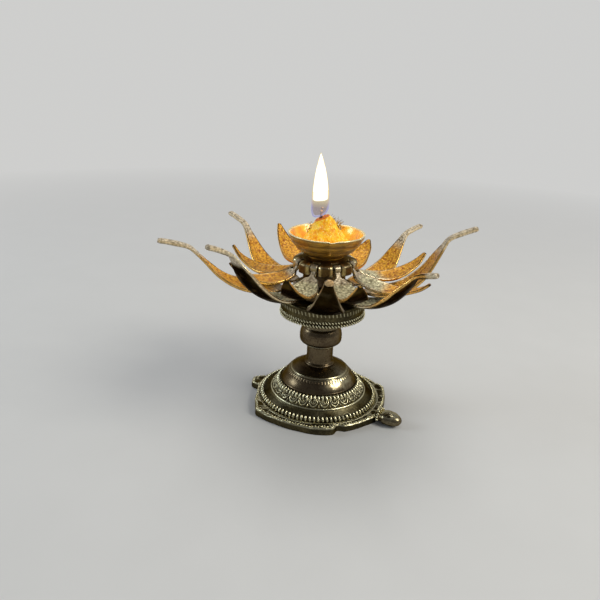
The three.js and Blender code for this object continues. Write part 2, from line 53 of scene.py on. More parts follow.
# Camera, as it stood when the photograph was taken
CAMERA_PLACE = (-11.99, -295.3, 169.8)
CAMERA_PITCH = 20.73
CAMERA_ROLL = 2.47
SENSOR_WIDTH = 36.0
LENS = 36.0

# Outline of the tortoise's plate: bearing, reach beyond the rope ring's circle
ROPE_RING_RADIUS = 31.2
PLATE_INNER_RADIUS = ROPE_RING_RADIUS - 1.4
PLATE_HEIGHT = 3.8
PLATE_OUTLINE = [
    (-37, 5.4), (-16, 5.0), (-1, 6.2), (9, 6.4), (13, 5.8), (15, 3.2), (19, 3.2), (21, 4.7),
    (42, 5.2), (54, 6.8), (66, 5.4), (77, 5.7), (96, 6.8), (104, 7.6), (110, 5.4), (133, 2.6),
    (157, 3.4), (163, 6.4), (174, 6.8), (180, 4.0), (200, 2.4), (232, 2.4), (240, 2.6),
    (247, 9.0), (257, 7.4), (260, 1.8), (270, 1.8), (296, 5.8), (302, 7.8), (307, 7.2), (323, 5.4),
]

# Its section: share of the way from the inner edge to the outer one, drop below the plate's top
PLATE_SECTION = [
    (0.0, 0.0), (0.08, 0.0), (0.16, 0.0), (0.24, 0.0), (0.32, 0.0), (0.40, 0.0), (0.48, 0.0), (0.56, 0.0),
    (0.64, 0.0), (0.70, 0.02), (0.75, 0.06), (0.79, 0.0), (0.83, -0.10), (0.87, -0.12), (0.91, -0.02),
    (0.95, 0.10), (0.985, 0.35), (1.0, 0.8), (1.0, 1.6), (1.0, 2.4), (1.0, 3.1), (1.0, 3.6), (0.985, 3.8),
    (0.9, 3.8), (0.5, 3.8), (0.1, 3.8), (0.0, 3.8),
]
EDGE_FALL = 0.5

# The tortoise: its feet by middle bearing and half width, its head, the leaves of its band
FEET = [(4.0, 10.0), (101.0, 9.0), (169.0, 8.0), (302.0, 9.0)]
HEAD_BEARING = 57.0
HEAD_REACH = 12.4
HEAD_HALF_SIZE = (7.25, 4.7, 3.8)
LEAVES = 26
RIBS = 288

# Dome, stem and disc
BORE_RADIUS = 2.4
SHELL_RIM_RADIUS = 20.4
SHELL_TOP_RADIUS = 8.6
FLANGE_RADIUS = 8.3
NECK_RADIUS = 7.1
NECK_HEIGHT = 10.8
BEAD_RADIUS = 11.3
STEM_TOP_RADIUS = 9.5
DISC_UNDERSIDE = 5.7
DISC_FOOT_RADIUS = 10.8
DISC_STROKES = 70

# Crowns and the petals' hinges
SLOT_PITCH = 45.0
SLOT_WIDTH = 4.2
SLOT_FLOOR = 11.85
LOWER_SEAT_HEIGHT = 1.0
SLEEVE_RADIUS = 11.0
WIRE_CIRCLE = 14.2
WIRE_RADIUS = 0.784
LOWER_HINGE_Z = 66.0
UPPER_HINGE_Z = 79.9
EYE_RADIUS = 1.95
EYE_BORE = 1.15
EYE_WIDTH = 3.2

# Middle line of a petal in its own frame: x from the hinge to the tip, z square to it, then its width
LONG_BLADE = [
    (0.0, 0.0, 3.2), (2.9, -2.0, 3.2), (4.8, -3.3, 3.6), (6.8, -4.6, 9.0), (11.3, -7.0, 14.8),
    (16.0, -8.7, 17.4), (22.1, -9.9, 17.8), (28.9, -9.9, 16.6), (34.0, -9.0, 14.8), (39.0, -7.3, 12.4),
    (45.6, -3.9, 8.6), (51.5, -0.8, 5.2), (55.6, 1.0, 3.9), (63.0, 0.9, 3.6), (70.5, 0.0, 3.4),
]
SHORT_BLADE = [
    (0.0, 0.0, 3.2), (1.0, -2.4, 3.2), (2.2, -4.2, 3.5), (3.3, -5.6, 7.6), (5.0, -7.2, 9.6),
    (9.5, -9.8, 13.0), (15.0, -11.5, 15.0), (21.0, -12.0, 14.4), (27.0, -11.0, 12.0), (33.0, -8.5, 9.0),
    (38.5, -4.9, 5.6), (43.0, 0.0, 2.0),
]

# Where a blade's extra width begins, is full, starts to go and is gone, as shares of its length
LONG_OUTER_HALF = (0.3, 0.52, 0.62, 0.82)
SHORT_OUTER_HALF = (0.4, 0.7, 0.9, 1.02)

# Petals on their open stops: station, length, bearing of the tip, lift of the tip, depth of the sag, extra
# width of the blade's outer half
LONG_PETALS = [
    (0, 70.0, -0.7, 24.3, 1.0, 0.0), (45, 65.0, 37.0, 25.0, 1.0, 5.0),
    (90, 70.5, 90.5, 29.0, 1.3, 3.0), (135, 71.0, 134.5, 17.3, 1.2, 0.0),
    (180, 70.0, 180.0, 20.0, 1.1, 0.0), (225, 70.0, 224.4, 20.2, 1.2, -1.5),
    (270, 73.0, 277.0, 19.2, 1.0, -4.5), (315, 69.0, 315.6, 29.5, 1.06, 4.5),
]
SHORT_PETALS = [
    (22.5, 42.0, 13.5, 8.2, 1.0, 2.6), (67.5, 41.0, 65.0, -3.2, 0.82, 0.0),
    (112.5, 45.0, 111.0, 0.9, 1.0, 0.9), (157.5, 45.0, 152.3, -1.8, 1.0, 3.0),
    (202.5, 45.0, 206.6, 7.6, 1.0, 0.7), (247.5, 40.5, 246.0, 0.3, 1.0, -1.8),
    (292.5, 36.5, 293.5, 4.8, 0.95, 0.0), (337.5, 41.0, 340.7, 9.0, 1.0, 1.4),
]
BLADE_THICKNESS = 1.3
LONG_TIP_THICKNESS = 2.4
LONG_CUP = 1.8
SHORT_CUP = 1.6
BLADE_ROWS = 240
ROOT_ROWS = 3

# Stations that differ: where a long blade's bar begins, and whose rims get orange flame light painted on
FRONT = 0
FRONT_RIGHT = 45
BAR_FROM = 0.69
LATE_BARS = {FRONT: 0.95, FRONT_RIGHT: 0.88}
PAINTED_FLAME_GLOW_RIMS = (22.5, FRONT_RIGHT, 337.5)

# Bowl, heap, wick and flame
BOWL_FOOT_RADIUS = 9.0
BOWL_RIM_RADIUS = 19.6
BOWL_WALL = 1.2
GHEE_RADIUS = 12.6
PEAK_SHIFT = 1.6
HEAP_KNOTS = [(1.0, 0.0), (0.80, 0.27), (0.60, 0.52), (0.44, 0.72), (0.30, 0.88), (0.20, 0.96), (0.10, 1.0),
              (0.02, 1.0)]
TOP_X = 1.3
TOP_SLOPE = 0.44
WICK_X = -3.2
FLAME_X = -4.0
FLAME_RADIUS = 4.4
FLAME_TIP_SHIFT = 0.9


def set_camera():
    """The camera, pitched down and rolled a little, where it stood when the photograph was taken."""
    camera = bpy.data.cameras.new("camera")
    camera.sensor_width = SENSOR_WIDTH
    camera.lens = LENS
    camera.clip_start = 0.01
    holder = bpy.data.objects.new("camera", camera)
    bpy.context.scene.collection.objects.link(holder)
    pitch, roll = math.radians(CAMERA_PITCH), math.radians(CAMERA_ROLL)
    forward = Vector((0, math.cos(pitch), -math.sin(pitch)))
    level_up = Vector((0, math.sin(pitch), math.cos(pitch)))
    level_right = Vector((1, 0, 0))
    right = level_right * math.cos(roll) + level_up * math.sin(roll)
    up = level_up * math.cos(roll) - level_right * math.sin(roll)
    turn = Matrix((right, up, -forward)).transposed().to_4x4()
    holder.matrix_world = Matrix.Translation(Vector(CAMERA_PLACE) * MM) @ turn
    bpy.context.scene.camera = holder
    bpy.context.scene.view_settings.view_transform = "Standard"


set_camera()


def low(node):
    """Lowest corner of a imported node's box, in millimetres."""
    return np.array(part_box(node)[0]) / MM


def high(node):
    """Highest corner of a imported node's box, in millimetres."""
    return np.array(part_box(node)[1]) / MM


FOOT_TOP_Z = high("tortoise_foot")[2]
SHELL_TOP_Z = high("shell")[2]
STEM_TOP_Z = high("stem")[2]
DISC_TOP_Z = high("lotus_disc")[2]
BOWL_Z = low("bowl")[2]
RIM_Z = high("bowl")[2]
GHEE_EDGE_Z = BOWL_Z + 6.3
PEAK_Z = high("ghee_cotton")[2]
FLAME_Z = low("flame")[2]
FLAME_TOP_Z = high("flame")[2] + 0.7
FLAME_HEIGHT = FLAME_TOP_Z - FLAME_Z


# Numbers

CELL_MIXERS = np.array([374761393, 668265263, 974634777])
SEED_MIXER = 83492791
BIT_MIXER = 1274126177


def lattice(cells, seed):
    """A repeatable value in -1..1 for each whole-number cell, by mixing the bits of its three indices."""
    n = cells @ CELL_MIXERS + seed * SEED_MIXER
    n = (n ^ (n >> 13)) * BIT_MIXER
    n = n ^ (n >> 16)
    return (n & 0xFFFF) / 32767.5 - 1.0


def lumps(points, size, seed=0):
    """Value noise in -1..1: cell values at the corners of a lattice of the given size, blended between
    neighbours by 3 f squared - 2 f cubed along each axis."""
    q = np.asarray(points) / size
    base = np.floor(q).astype(np.int64)
    f = q - base
    f = f * f * (3 - 2 * f)
    total = np.zeros(q.shape[:-1])
    for corner in np.ndindex(2, 2, 2):
        c = np.array(corner)
        share = np.where(c == 1, f, 1 - f).prod(axis=-1)
        total += share * lattice(base + c, seed)
    return total


def ease(x, a, b):
    """0 below a, 1 above b, and 3 f squared - 2 f cubed between them."""
    f = np.clip((np.asarray(x, float) - a) / (b - a), 0, 1)
    return f * f * (3 - 2 * f)


def plateau(x, a, b, c, d):
    """0 below a, 1 from b to c, 0 above d, and eased between them."""
    return ease(x, a, b) * (1 - ease(x, c, d))


def bell(x, middle, width):
    """e to the power of minus ((x - middle) / width) squared."""
    return np.exp(-((x - middle) / width) ** 2)


def rises(bottom, top):
    """The value that lies a given share of the way from bottom to top."""
    return lambda share: bottom + (top - bottom) * share


def bearing_of(turn):
    """Unit vectors seen from above for bearings in degrees."""
    t = np.radians(turn)
    return np.stack([np.sin(t), -np.cos(t)], axis=-1)


def around_axis(r, turn, z):
    """Points at the radii r and bearings turn from the lamp's axis and at the heights z."""
    out = bearing_of(turn)
    x, y = r * out[..., 0], r * out[..., 1]
    return np.stack([x, y, np.broadcast_to(z, x.shape)], axis=-1)


def full_circle(count):
    """count bearings round the whole circle."""
    return np.linspace(0, 360, count, endpoint=False)


def angles(count):
    """count angles round the whole circle, in radians."""
    return np.linspace(0, 2 * math.pi, count, endpoint=False)


def away_from(middle, bearing, period=360.0):
    """How far a bearing lies from a middle one, up to half a period to either side."""
    return (bearing - middle + period / 2) % period - period / 2


def through(points, count):
    """count points on a centripetal Catmull-Rom curve through the given rows: each piece between two rows is
    the Barry-Goldman blend of straight lines, with knots spaced by the square root of the distance."""
    p = np.asarray(points, float)
    p = np.vstack([2 * p[0] - p[1], p, 2 * p[-1] - p[-2]])
    step = np.sqrt(np.linalg.norm(np.diff(p, axis=0), axis=1))
    knot = np.concatenate([[0], np.cumsum(step)])
    u = np.linspace(0, len(points) - 1, count)
    i = np.minimum(u.astype(int), len(points) - 2)
    k = [knot[i + n] for n in range(4)]
    q = [p[i + n] for n in range(4)]
    t = k[1] + (u - i) * (k[2] - k[1])

    def blend(a, b, ka, kb):
        f = ((t - ka) / (kb - ka))[:, None]
        return a * (1 - f) + b * f

    a1 = blend(q[0], q[1], k[0], k[1])
    a2 = blend(q[1], q[2], k[1], k[2])
    a3 = blend(q[2], q[3], k[2], k[3])
    return blend(blend(a1, a2, k[0], k[2]), blend(a2, a3, k[1], k[3]), k[1], k[2])


# Patches: pieces of surface as arrays, joined into meshes at the end

def grid_patch(points, closed_rows=False, **masks):
    """A surface over a grid of points, rows x columns x 3, whose columns run round and close. Rows close on
    each other, or the first and last row each get a fan to their middle. Faces point outwards."""
    rows, columns = points.shape[:2]
    co = points.reshape(-1, 3)
    i = np.arange(rows if closed_rows else rows - 1)[:, None]
    k = np.arange(columns)[None, :]
    here = i * columns + k
    right = i * columns + (k + 1) % columns
    up = ((i + 1) % rows) * columns + k
    over = ((i + 1) % rows) * columns + (k + 1) % columns
    quads = np.stack([here, right, over, up], axis=-1).reshape(-1, 4)
    tris = np.zeros((0, 3), int)
    values = {n: np.broadcast_to(m, (rows, columns)).reshape(-1).astype(float) for n, m in masks.items()}
    if not closed_rows:
        round_first = np.arange(columns)
        round_last = round_first + (rows - 1) * columns
        first = np.stack([np.roll(round_first, -1), round_first, np.full(columns, len(co))], axis=-1)
        last = np.stack([round_last, np.roll(round_last, -1), np.full(columns, len(co) + 1)], axis=-1)
        tris = np.vstack([first, last])
        for n, v in values.items():
            values[n] = np.concatenate([v, [v[round_first].mean(), v[round_last].mean()]])
        co = np.vstack([co, points[0].mean(0), points[-1].mean(0)])
    volume = 0.0
    for faces in (quads[:, :3], quads[:, [0, 2, 3]], tris):
        a, b, c = (co[faces[:, n]] for n in range(3))
        volume += np.einsum("ij,ij->", a, np.cross(b, c))
    if volume < 0:
        quads = quads[:, ::-1]
        tris = tris[:, ::-1]
    return {"co": co, "quads": quads, "tris": tris, "masks": values}


def joined(patches):
    """Several patches as one."""
    offsets = np.cumsum([0] + [len(p["co"]) for p in patches[:-1]])
    names = sorted({n for p in patches for n in p["masks"]})
    return {
        "co": np.vstack([p["co"] for p in patches]),
        "quads": np.vstack([p["quads"] + o for p, o in zip(patches, offsets)]),
        "tris": np.vstack([p["tris"] + o for p, o in zip(patches, offsets)]),
        "masks": {n: np.concatenate([p["masks"].get(n, np.zeros(len(p["co"]))) for p in patches])
                  for n in names},
    }


def copies(patch, places):
    """One patch set down again and again: places holds, for each copy, a 3 x 3 turn and a shift."""
    turns = np.array([t for t, _ in places])
    shifts = np.array([s for _, s in places])
    n, count = len(patch["co"]), len(places)
    co = np.einsum("cij,vj->cvi", turns, patch["co"]) + shifts[:, None, :]
    steps = (np.arange(count) * n)[:, None, None]
    return {
        "co": co.reshape(-1, 3),
        "quads": (patch["quads"][None] + steps).reshape(-1, 4),
        "tris": (patch["tris"][None] + steps).reshape(-1, 3),
        "masks": {k: np.tile(v, count) for k, v in patch["masks"].items()},
    }


def turned_to(bearing):
    """Turn that takes x to the outward direction at a bearing, and y to the direction round the lamp."""
    out = np.append(bearing_of(bearing), 0.0)
    return np.stack([out, [-out[1], out[0], 0.0], [0.0, 0.0, 1.0]], axis=1)


def tilted(degrees):
    """Turn that lifts x towards z."""
    c, s = math.cos(math.radians(degrees)), math.sin(math.radians(degrees))
    return np.array([[c, 0, -s], [0, 1, 0], [s, 0, c]])


def leaning(degrees):
    """Turn that lifts y towards z."""
    c, s = math.cos(math.radians(degrees)), math.sin(math.radians(degrees))
    return np.array([[1, 0, 0], [0, c, -s], [0, s, c]])


def egg(size, rows=6, columns=8, **masks):
    """An ellipsoid of the given three diameters, with short flat caps at its two ends along x."""
    a = np.linspace(0.16, math.pi - 0.16, rows)[:, None]
    b = angles(columns)
    ball = np.stack([np.cos(a) * np.ones_like(b), np.sin(a) * np.cos(b), np.sin(a) * np.sin(b)], axis=-1)
    return grid_patch(ball * np.array(size) / 2, **masks)


def soft_profile(points, spacing, softness=0.0):
    """A [radius, height] outline drawn through its corners: points every spacing or less, then each corner
    rounded by averaging with its neighbours over about softness."""
    p = np.asarray(points, float)
    pieces = []
    for a, b in zip(p[:-1], p[1:]):
        n = max(1, int(math.ceil(np.linalg.norm(b - a) / spacing)))
        pieces.append(a + (b - a) * np.arange(n)[:, None] / n)
    line = np.vstack(pieces + [p[-1:]])
    for _ in range(int(round(softness / spacing * 4))):
        line[1:-1] = (line[:-2] + 2 * line[1:-1] + line[2:]) / 4
    return line


def closed_outline(outside, inside, spacing, softness, inside_spacing=1.5):
    """A closed outline: its outside fine and softened, then its inside from there, coarse and sharp."""
    fine = soft_profile(outside, spacing, softness)
    return np.vstack([fine[:-1], soft_profile([outside[-1]] + inside, inside_spacing)])


def turned(outline, around, relief=None, wear=None):
    """A surface of revolution over an outline whose last point repeats the first. relief(bearing, r, z)
    pushes each point out along the outline's normal, in millimetres, and wear(bearing, r, z) marks rubbed
    places, from 0 to 1."""
    line = np.asarray(outline, float)[:-1]
    tangent = np.roll(line, -1, axis=0) - np.roll(line, 1, axis=0)
    tangent /= np.maximum(np.linalg.norm(tangent, axis=1, keepdims=True), 1e-9)
    turn = full_circle(around)
    r = line[:, :1] * np.ones_like(turn)
    z = line[:, 1:] * np.ones_like(turn)
    bearing = np.broadcast_to(turn, r.shape)
    if relief is not None:
        push = relief(bearing, r, z)
        r = r + push * tangent[:, 1:]
        z = z - push * tangent[:, :1]
    worn = wear(bearing, r, z) if wear is not None else 0.0
    return grid_patch(around_axis(r, turn, z), closed_rows=True, worn=worn)


def make(name, patch, material, body=STAND, replaces=()):
    """The finished piece: a smooth-shaded mesh in metres at the origin, with one float attribute for each
    mask, which rides on its body and stands for the named nodes."""
    mesh = bpy.data.meshes.new(name)
    co, quads, tris = patch["co"] * MM, patch["quads"], patch["tris"]
    mesh.vertices.add(len(co))
    mesh.vertices.foreach_set("co", co.astype(np.float32).ravel())
    corners = np.concatenate([quads.ravel(), tris.ravel()]).astype(np.int32)
    mesh.loops.add(len(corners))
    mesh.loops.foreach_set("vertex_index", corners)
    starts = np.concatenate([np.arange(len(quads)) * 4, len(quads) * 4 + np.arange(len(tris)) * 3])
    mesh.polygons.add(len(starts))
    mesh.polygons.foreach_set("loop_start", starts.astype(np.int32))
    mesh.update(calc_edges=True)
    mesh.polygons.foreach_set("use_smooth", np.ones(len(starts), bool))
    for mask, values in patch["masks"].items():
        mesh.attributes.new(mask, "FLOAT", "POINT").data.foreach_set("value", values.astype(np.float32))
    mesh.materials.append(material)
    piece = bpy.data.objects.new(name, mesh)
    bpy.context.scene.collection.objects.link(piece)
    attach(piece, body)
    if replaces:
        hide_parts(*replaces)
    return piece


# Materials

class Drawing:
    """A node tree being drawn up."""

    def __init__(self, tree):
        self.tree = tree

    def add(self, kind, outputs=0, inputs=None, **settings):
        """Places one node. inputs gives its sockets by name or number, each a value or another node's
        socket. Returns the node's output of that name or number."""
        node = self.tree.nodes.new(kind)
        for name, value in settings.items():
            setattr(node, name, value)
        self.feed(node, inputs or {})
        return node.outputs[outputs]

    def feed(self, node, inputs):
        """Gives each named socket of a node its value, or links another node's socket to it."""
        for name, value in inputs.items():
            if isinstance(value, bpy.types.NodeSocket):
                self.tree.links.new(value, node.inputs[name])
            else:
                node.inputs[name].default_value = value

    def mix(self, share, a, b):
        """Colour a where share is 0 and colour b where it is 1."""
        return self.add("ShaderNodeMix", 2, {0: share, 6: a, 7: b}, data_type="RGBA")

    def sums(self, operation, a, b, clamp=False):
        return self.add("ShaderNodeMath", 0, {0: a, 1: b}, operation=operation, use_clamp=clamp)

    def plus(self, a, b):
        return self.sums("ADD", a, b)

    def times(self, a, b, clamp=False):
        return self.sums("MULTIPLY", a, b, clamp)

    def rest(self, value):
        """What is missing from 1."""
        return self.sums("SUBTRACT", 1.0, value)

    def fit(self, value, a, b, c=0.0, d=1.0):
        """value stretched from a..b to c..d, and held there beyond the ends."""
        return self.add("ShaderNodeMapRange", 0, {0: value, 1: a, 2: b, 3: c, 4: d})

    def place(self):
        return self.add("ShaderNodeTexCoord", "Object")

    def noise(self, place, scale, detail=4.0, roughness=0.55):
        return self.add("ShaderNodeTexNoise", 0,
                        {"Vector": place, "Scale": scale, "Detail": detail, "Roughness": roughness})

    def mask(self, name):
        """The value that a piece carries in its mesh under this name."""
        return self.add("ShaderNodeAttribute", "Fac", attribute_name=name)

    def placed(self, tree, inputs):
        """A node group inside a material, with its own values. Returns its outputs by name."""
        node = self.tree.nodes.new("ShaderNodeGroup")
        node.node_tree = tree
        self.feed(node, inputs)
        return node.outputs

    def bump(self, height, depth):
        """A normal bumped to the given depth in millimetres."""
        return self.add("ShaderNodeBump", 0, {"Height": height, "Distance": depth * MM, "Strength": 1.0})


def colour(r, g, b):
    return (r, g, b, 1.0)


BLACK = colour(0, 0, 0)
WHITE = colour(1.0, 1.0, 1.0)


def group(name, inputs, outputs, draw):
    """A shader node group. inputs are (name, kind, default) and outputs (name, kind)."""
    tree = bpy.data.node_groups.new(name, "ShaderNodeTree")
    for label, kind, default in inputs:
        socket = tree.interface.new_socket(label, in_out="INPUT", socket_type="NodeSocket" + kind)
        socket.default_value = default
    for label, kind in outputs:
        tree.interface.new_socket(label, in_out="OUTPUT", socket_type="NodeSocket" + kind)
    given = tree.nodes.new("NodeGroupInput").outputs
    result = tree.nodes.new("NodeGroupOutput")
    sheet = Drawing(tree)
    sheet.feed(result, draw(sheet, given))
    return tree


def draw_old_brass(sheet, given):
    """Rubbed colour where the mask is high. Elsewhere tarnish, deeper in broad clouds and in small specks."""
    place = sheet.place()
    clouds = sheet.fit(sheet.noise(place, given["Cloud Scale"], 5.0), 0.36, 0.66)
    specks = sheet.fit(sheet.noise(place, given["Speck Scale"], 3.0, 0.7), 0.45, 0.62)
    cover = sheet.plus(sheet.fit(clouds, 0.0, 1.0, 0.40, 1.0), sheet.times(specks, 0.25))
    cover = sheet.times(cover, given["Tarnish"], clamp=True)
    rubbed = sheet.times(given["Rubbed"], sheet.fit(specks, 0.0, 1.0, 1.0, 0.6), clamp=True)
    dark = sheet.times(cover, sheet.rest(rubbed), clamp=True)
    base = sheet.mix(dark, given["Brass"], given["Tarnished"])
    return {"Colour": sheet.mix(rubbed, base, given["Bright"]),
            "Roughness": sheet.fit(dark, 0.0, 1.0, given["Polished"], given["Dull"])}


def draw_cast_skin(sheet, given):
    """Height of a cast surface: small round pits between raised grains, over soft unevenness."""
    place = sheet.place()
    grains = sheet.add("ShaderNodeTexVoronoi", "Distance",
                       {"Vector": place, "Scale": given["Scale"], "Randomness": 1.0}, feature="SMOOTH_F1")
    fine = sheet.noise(place, sheet.times(given["Scale"], 2.1), 3.0, 0.6)
    return {"Height": sheet.plus(sheet.times(grains, -0.8), sheet.times(fine, 0.5)),
            "Grain": sheet.fit(grains, 0.15, 0.75, 1.0, 0.0)}


def draw_tool_marks(sheet, given):
    """Height of the fine rings that a lathe leaves: noise drawn out round the axis, so it varies with z."""
    place = sheet.place()
    drawn = sheet.add("ShaderNodeMapping", 0, {"Vector": place, "Scale": (0.03, 0.03, 1.0)})
    rings = sheet.noise(drawn, given["Scale"], 3.0, 0.6)
    dents = sheet.noise(place, sheet.times(given["Scale"], 0.12), 3.0, 0.6)
    return {"Height": sheet.plus(sheet.times(rings, 0.4), dents)}


old_brass = group("old brass", [
    ("Brass", "Color", colour(0.30, 0.22, 0.09)), ("Tarnished", "Color", colour(0.06, 0.045, 0.02)),
    ("Bright", "Color", colour(0.70, 0.60, 0.30)), ("Rubbed", "Float", 0.0), ("Tarnish", "Float", 0.7),
    ("Cloud Scale", "Float", 90.0), ("Speck Scale", "Float", 900.0),
    ("Polished", "Float", 0.25), ("Dull", "Float", 0.55),
], [("Colour", "Color"), ("Roughness", "Float")], draw_old_brass)
cast_skin = group("cast skin", [("Scale", "Float", 900.0)], [("Height", "Float"), ("Grain", "Float")],
                  draw_cast_skin)
tool_marks = group("tool marks", [("Scale", "Float", 1600.0)], [("Height", "Float")], draw_tool_marks)


def new_material(name):
    """An empty material's node sheet, its surface shader and the material."""
    material = bpy.data.materials.new(name)
    material.use_nodes = True
    shader = material.node_tree.nodes["Principled BSDF"]
    return Drawing(material.node_tree), shader, material


def brass_material(name, skin, skin_scale, skin_depth, **looks):
    """Old brass over a cast or a turned skin. looks are the old brass group's own inputs."""
    sheet, shader, material = new_material(name)
    brass = sheet.placed(old_brass, {"Rubbed": sheet.mask("worn"), **looks})
    height = sheet.placed(skin, {"Scale": skin_scale})["Height"]
    sheet.feed(shader, {
        "Base Color": brass["Colour"], "Roughness": brass["Roughness"], "Metallic": 1.0,
        "Specular Tint": colour(0.42, 0.37, 0.30), "Normal": sheet.bump(height, skin_depth),
    })
    return material


def petal_brass_material():
    """Inner face stippled: golden orange where flame light is painted on, pale grey gold where it isn't.
    Outer face smooth and dark, its own tarnish darkened further as painted shade. Edges, necks and tips
    rubbed pale, and the rims of some petals painted orange with flame light."""
    sheet, shader, material = new_material("petal brass")
    inner, worn, tip, gilt = (sheet.mask(name) for name in ("inner", "worn", "tip", "gilt"))
    skin = sheet.placed(cast_skin, {"Scale": 900.0})
    # the stipple's colours turn orange where flame light is painted on
    hollow = sheet.mix(gilt, colour(0.13, 0.105, 0.04), colour(0.36, 0.085, 0.002))
    hollow = sheet.mix(tip, hollow, colour(0.22, 0.165, 0.10))
    grain = sheet.mix(gilt, colour(1.0, 0.93, 0.60), colour(1.0, 0.52, 0.035))
    grain = sheet.mix(tip, grain, colour(0.90, 0.76, 0.54))
    stipple = sheet.mix(skin["Grain"], hollow, grain)
    # outer face: its own dark tarnish, made darker still as painted shade; its rubbed rims turn orange where
    # flame light is painted on
    outside = sheet.placed(old_brass, {
        "Brass": colour(0.070, 0.050, 0.022), "Tarnished": colour(0.016, 0.011, 0.005),
        "Bright": sheet.mix(gilt, colour(0.88, 0.74, 0.50), colour(1.0, 0.58, 0.16)), "Rubbed": worn,
        "Tarnish": 0.85, "Cloud Scale": 70.0, "Polished": 0.24, "Dull": 0.42,
    })
    inside = sheet.placed(old_brass, {
        "Brass": stipple, "Tarnished": sheet.mix(0.40, stipple, colour(0.06, 0.035, 0.01)),
        "Bright": sheet.mix(gilt, colour(0.92, 0.84, 0.60), colour(1.0, 0.74, 0.36)), "Rubbed": worn,
        "Tarnish": 0.32, "Cloud Scale": 130.0, "Polished": 0.30, "Dull": 0.48,
    })
    # less metallic on the inner face, and less again where flame light is painted on
    film = sheet.times(inner, sheet.fit(gilt, 0.0, 1.0, 0.5, 0.84))
    relief = sheet.times(skin["Height"], sheet.fit(inner, 0.0, 1.0, 0.12, 1.0))
    sheet.feed(shader, {
        "Base Color": sheet.mix(inner, outside["Colour"], inside["Colour"]),
        "Roughness": sheet.plus(sheet.times(inside["Roughness"], inner),
                                sheet.times(outside["Roughness"], sheet.rest(inner))),
        "Metallic": sheet.rest(film), "Specular IOR Level": 0.25,
        "Specular Tint": sheet.mix(sheet.sums("MAXIMUM", inner, worn), colour(0.30, 0.26, 0.22), WHITE),
        "Normal": sheet.bump(relief, 0.32),
    })
    return material


def bowl_brass_material():
    """Outside: turned bands of ochre and brown. Inside: a shiny film of orange ghee, which glows faintly as
    painted flame light. Rim rubbed to yellow.
    """
    sheet, shader, material = new_material("bowl brass")
    inside = sheet.mask("inside")
    stain = sheet.fit(sheet.noise(sheet.place(), 210.0, 4.0), 0.38, 0.64)
    band = sheet.mix(sheet.mask("band"), colour(0.30, 0.15, 0.022), colour(0.78, 0.44, 0.06))
    band = sheet.mix(sheet.times(stain, 0.5), band, colour(0.16, 0.095, 0.055))
    film = sheet.mix(stain, colour(0.98, 0.58, 0.012), colour(0.86, 0.33, 0.004))
    brass = sheet.placed(old_brass, {
        "Brass": sheet.mix(inside, band, film), "Tarnished": sheet.mix(0.35, band, colour(0.06, 0.03, 0.01)),
        "Bright": colour(1.0, 0.90, 0.52), "Rubbed": sheet.mask("worn"),
        "Tarnish": sheet.fit(inside, 0.0, 1.0, 0.55, 0.0), "Polished": 0.26, "Dull": 0.40,
    })
    height = sheet.placed(tool_marks, {"Scale": 1100.0})["Height"]
    # the inner film's emission is painted flame light
    sheet.feed(shader, {
        "Base Color": brass["Colour"], "Roughness": brass["Roughness"],
        "Metallic": sheet.fit(inside, 0.0, 1.0, 0.55, 0.1),
        "Emission Color": sheet.mix(inside, BLACK, film), "Emission Strength": 0.22,
        "Coat Weight": sheet.times(inside, 0.7), "Coat Roughness": 0.12, "Normal": sheet.bump(height, 0.06),
    })
    return material


cast_brass = brass_material(
    "cast brass", cast_skin, 1100.0, 0.12,
    Brass=colour(0.15, 0.118, 0.048), Tarnished=colour(0.022, 0.017, 0.0075), Bright=colour(0.96, 0.90, 0.60),
    Tarnish=0.92, Polished=0.22, Dull=0.46)
turned_brass = brass_material(
    "turned brass", tool_marks, 1500.0, 0.035,
    Brass=colour(0.17, 0.125, 0.068), Tarnished=colour(0.052, 0.031, 0.018), Bright=colour(0.80, 0.74, 0.48),
    Tarnish=0.85, Polished=0.19, Dull=0.32)
# lighter than the cast brass, as painted light on the crowns
crown_brass_painted_lit = brass_material(
    "crown brass painted lit", cast_skin, 1000.0, 0.10,
    Brass=colour(0.21, 0.14, 0.060), Tarnished=colour(0.050, 0.025, 0.011), Bright=colour(0.86, 0.74, 0.42),
    Tarnish=0.85, Polished=0.24, Dull=0.44)
petal_brass = petal_brass_material()
bowl_brass = bowl_brass_material()


# Tortoise foot

def plate_reach(bearing):
    """Radius of the plate's edge: straight lines between the outline's corners by bearing, then softened."""
    turn, reach = np.array(PLATE_OUTLINE, float).T
    spread = np.linspace(-1.5, 1.5, 7)
    first = turn[0]
    values = [np.interp((bearing + s - first) % 360 + first, turn, reach) for s in spread]
    return ROPE_RING_RADIUS + np.mean(values, axis=0)


def foot_mound(bearing, share):
    """Height of the tortoise's feet over the plate: a bell across each foot's bearings, rising outwards, with
    three grooves between its toes."""
    rise = np.zeros(np.broadcast(bearing, share).shape)
    for middle, half in FEET:
        off = away_from(middle, bearing)
        arch = np.clip(1 - (off / half) ** 2, 0, 1) ** 0.6
        toes = 0.5 + 0.5 * np.cos(off / half * math.pi * 3)
        rise = rise + arch * ease(share, 0.25, 0.6) * (0.55 + 0.35 * toes * ease(share, 0.55, 0.8))
    return rise


